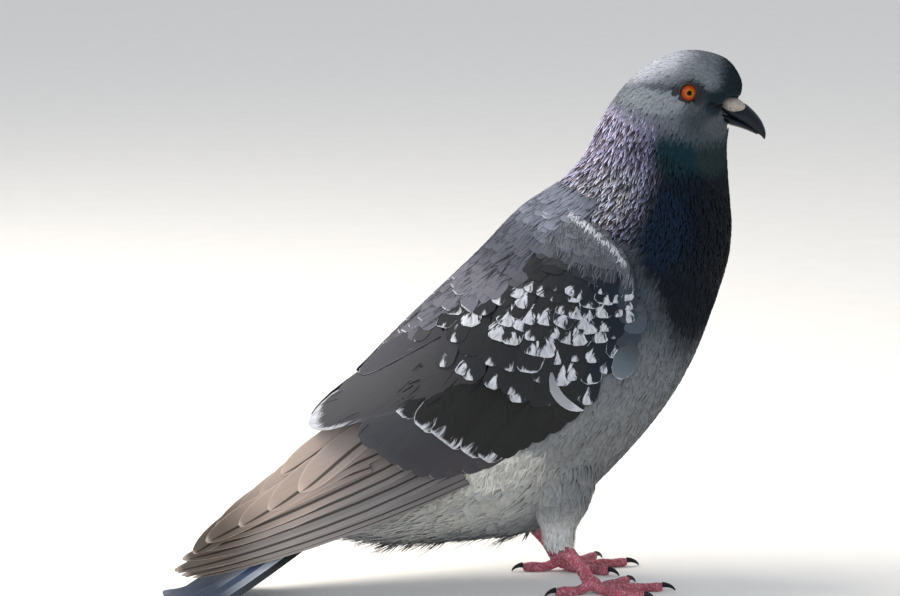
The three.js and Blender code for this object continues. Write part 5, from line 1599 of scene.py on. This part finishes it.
def add_piece(name, shape, material, slot, *nodes):
    """A piece that rides on the root body and hides the solids it stands for; its slot is not used."""
    vertices, faces = shape
    piece = make_mesh(name, vertices, outward(vertices, faces), material)
    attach(piece, "root")
    if nodes:
        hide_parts(*nodes)


for side, name in ((RIGHT, "right"), (LEFT, "left")):
    add_piece(f"eyeball_{name}", ball(side), eye_finish, "eye", f"eye_{name}")

# %% [markdown]
# ## Bill and cere
# The bill is horn: dark slate, smooth and a little waxy, with a hooked upper half. At its root sits the
# cere, two swollen lobes of soft skin that are white with powder. The nostril is a slit under its edge.

# %% Bill, cere and nostrils
# each row: x, z of the upper edge, x, z of the lower edge, half width
UPPER_BILL = np.array([
    [120.5, 211.7, 119.0, 206.6, 3.2], [125.0, 211.6, 122.4, 204.5, 3.5], [130.2, 209.8, 126.6, 202.2, 3.5],
    [134.5, 206.2, 130.8, 199.9, 3.1], [137.9, 201.9, 134.6, 197.4, 2.1], [139.7, 197.3, 137.5, 195.7, 1.1],
    [139.6, 194.4, 139.0, 194.1, 0.35]])
LOWER_BILL = np.array([
    [119.4, 206.0, 120.6, 202.4, 3.1], [122.4, 205.0, 123.2, 200.7, 3.6], [127.5, 202.6, 127.4, 199.5, 3.0],
    [132.0, 200.2, 131.6, 198.0, 2.1], [136.0, 197.4, 135.8, 196.2, 0.9]])


def bill_half(rows, ridge, count=64, ring=48):
    """Ellipses between a top and a bottom point. ridge above 1 narrows the upper side to a ridge:
    y = half sign(sin) |sin|^(1 + ridge max(cos, 0))."""
    t, a = np.meshgrid(np.linspace(0, 1, count), np.linspace(0, TURN, ring, endpoint=False), indexing="ij")
    tx, tz, bx, bz, half = np.moveaxis(rows_at(rows, t), -1, 0)
    power = 1 + ridge * np.clip(np.cos(a), 0, 1)
    y = half * np.sign(np.sin(a)) * np.abs(np.sin(a)) ** power
    x = (tx + bx) / 2 + (tx - bx) / 2 * np.cos(a)
    z = (tz + bz) / 2 + (tz - bz) / 2 * np.cos(a)
    return capped_loft(np.stack([x, y, z], -1))


def lobe(centre, size, tilt, count=36, ring=40, pinch=0.0):
    """An ellipsoid along x, tilted in the side view; pinch makes its front end more slender."""
    u = np.linspace(0.03, np.pi - 0.03, count)[:, None]
    v = np.linspace(0, TURN, ring, endpoint=False)[None]
    slim = 1 - pinch * np.cos(u)
    x = size[0] * np.cos(u) + 0 * v
    y, z = size[1] * slim * np.sin(u) * np.cos(v), size[2] * slim * np.sin(u) * np.sin(v)
    c, s = math.cos(math.radians(tilt)), math.sin(math.radians(tilt))
    return capped_loft(np.stack([centre[0] + c * x + s * z, centre[1] + y, centre[2] + c * z - s * x], -1))


horn, tree, shader = new_material("horn_slate_waxy", 0.33, **{"Specular IOR Level": 0.22})
spot_at = add_node(tree, "ShaderNodeTexCoord").outputs["Object"]
growth = add_node(tree, "ShaderNodeMapping", {"Vector": spot_at, "Scale": (220.0, 900.0, 900.0)}).outputs[0]
cloud = add_node(tree, "ShaderNodeTexNoise", {"Vector": growth, "Scale": 1.0, "Detail": 4.0}).outputs[0]
ramp = add_node(tree, "ShaderNodeValToRGB", {0: cloud})
for stop, place, code in zip(ramp.color_ramp.elements, (0.3, 0.72), ("#05080e", "#0f1a28")):
    stop.position, stop.color = place, rgba(code)
tree.links.new(ramp.outputs[0], shader.inputs["Base Color"])
bump = add_node(tree, "ShaderNodeBump", {"Height": cloud, "Distance": 0.0001, "Strength": 0.4})
tree.links.new(bump.outputs[0], shader.inputs["Normal"])

powder, tree, shader = new_material("cere_skin_powdered", 0.85)
spot_at = add_node(tree, "ShaderNodeTexCoord").outputs["Object"]
grain = add_node(tree, "ShaderNodeTexNoise", {"Vector": spot_at, "Scale": 900.0, "Detail": 5.0}).outputs[0]
ramp = add_node(tree, "ShaderNodeValToRGB", {0: grain})
for stop, place, code in zip(ramp.color_ramp.elements, (0.3, 0.6), ("#837c77", "#a59e97")):
    stop.position, stop.color = place, rgba(code)
tree.links.new(ramp.outputs[0], shader.inputs["Base Color"])
bump = add_node(tree, "ShaderNodeBump", {"Height": grain, "Distance": 0.0002, "Strength": 0.6})
tree.links.new(bump.outputs[0], shader.inputs["Normal"])


def both(shapes):
    """Several closed shapes as one."""
    starts = np.cumsum([0] + [len(v) for v, _ in shapes])
    return (np.concatenate([v for v, _ in shapes]),
            np.concatenate([outward(v, f) + start for (v, f), start in zip(shapes, starts)]))


add_piece("bill_upper_half", bill_half(UPPER_BILL, 0.35), horn, "bill", "bill_upper")
add_piece("bill_lower_half", bill_half(LOWER_BILL, 0.0), horn, "bill", "bill_lower")
add_piece("cere_lobes", both([lobe((124.2, side * 2.5, 209.7), (5.5, 3.2, 3.1), 14, pinch=0.14)
                              for side in (RIGHT, LEFT)]), powder, "cere", "cere")
add_piece("nostrils", both([lobe((127.0, side * 3.6, 206.0), (2.2, 0.75, 0.5), 24, count=16, ring=16)
                            for side in (RIGHT, LEFT)]), horn, "bill")

# %% [markdown]
# ## Claws
# The claws are curved cones of dark horn that taper to a blunt point on the floor.

# %% Claws
def claw(side, heading, reach, length, bend=1.25, steps=7):
    """A tube along an arc of angle bend: along = length / bend * sin, and down by 1 - cos, getting thin."""
    ahead, start = toe_way(side, heading)
    f = np.linspace(0, 1, steps)
    top = TOE_HEIGHT + 1.0
    along = reach + 0.1 + length / bend * np.sin(bend * f)
    fall = (top - 0.35) * (1 - np.cos(bend * f)) / (1 - math.cos(bend))
    ground = start[None] + along[:, None] * ahead
    rows = np.column_stack([ground[:, 0], ground[:, 1], top - fall, 1.0 - 0.74 * f, 1.3 - 1.02 * f])
    v, faces = plain_tube(tube(rows, (0, 0, 1)), 24, 16)
    v[:, 2] = np.maximum(v[:, 2], 0.0)
    return v, faces


for side, name in ((RIGHT, "right"), (LEFT, "left")):
    for toe, (heading, reach, length, _) in TOES.items():
        shape = claw(side, heading, reach, length)
        add_piece(f"horn_claw_{toe}_{name}", shape, horn, "claw", f"claw_{toe}_{name}")

# %% [markdown]
# ## Floor, light and camera
# A plain pale floor, a large soft light from above and behind on the bird's back, and a weaker one on the
# camera's side keep the forms readable. The camera stands to the bird's right, a little above it, with a
# long lens.

# %% Stage
floor_finish, tree, shader = new_material("matt_paper", 0.9)
spot_at = add_node(tree, "ShaderNodeTexCoord").outputs["Object"]
fleck = add_node(tree, "ShaderNodeTexNoise", {"Vector": spot_at, "Scale": 40.0, "Detail": 3.0}).outputs[0]
ramp = add_node(tree, "ShaderNodeValToRGB", {0: fleck})
ramp.color_ramp.elements[0].color, ramp.color_ramp.elements[1].color = rgba("#e9e8e5"), rgba("#f1f0ed")
tree.links.new(ramp.outputs[0], shader.inputs["Base Color"])
bpy.ops.mesh.primitive_grid_add(x_subdivisions=4, y_subdivisions=4, size=12.0)
floor = bpy.context.object
floor.name = "floor"
floor.data.materials.append(floor_finish)

world = bpy.data.worlds.new("studio")
bpy.context.scene.world = world
world.use_nodes = True
world.node_tree.nodes["Background"].inputs[0].default_value = rgba("#eef1f6")
world.node_tree.nodes["Background"].inputs[1].default_value = 0.75


def soft_light(name, place, size, watts, code):
    """A square area light that faces the middle of the bird."""
    data = bpy.data.lights.new(name, "AREA")
    data.size, data.energy, data.color = size, watts, linear(code)
    lamp = bpy.data.objects.new(name, data)
    lamp.location = place
    lamp.rotation_euler = (Vector((0, 0, 0.12)) - lamp.location).to_track_quat("-Z", "Y").to_euler()
    bpy.context.scene.collection.objects.link(lamp)


soft_light("key_above_back", (-0.75, 0.25, 1.15), 0.8, 24, "#fff6ea")
soft_light("fill_camera_side", (-0.9, -1.4, 0.7), 1.2, 9, "#eef3ff")

camera = bpy.data.objects.new("camera", bpy.data.cameras.new("camera"))
camera.data.lens, camera.data.sensor_width = 122.64, 36.0
camera.location = (-0.25613, -1.2761, 0.3439)
camera.rotation_euler = (math.radians(90 - 9.41), 0, math.radians(-11))
bpy.context.scene.collection.objects.link(camera)
bpy.context.scene.camera = camera
bpy.context.scene.view_settings.view_transform = "Standard"
print("camera (m):", [round(v, 3) for v in camera.location], "lens (mm):", round(camera.data.lens, 1))
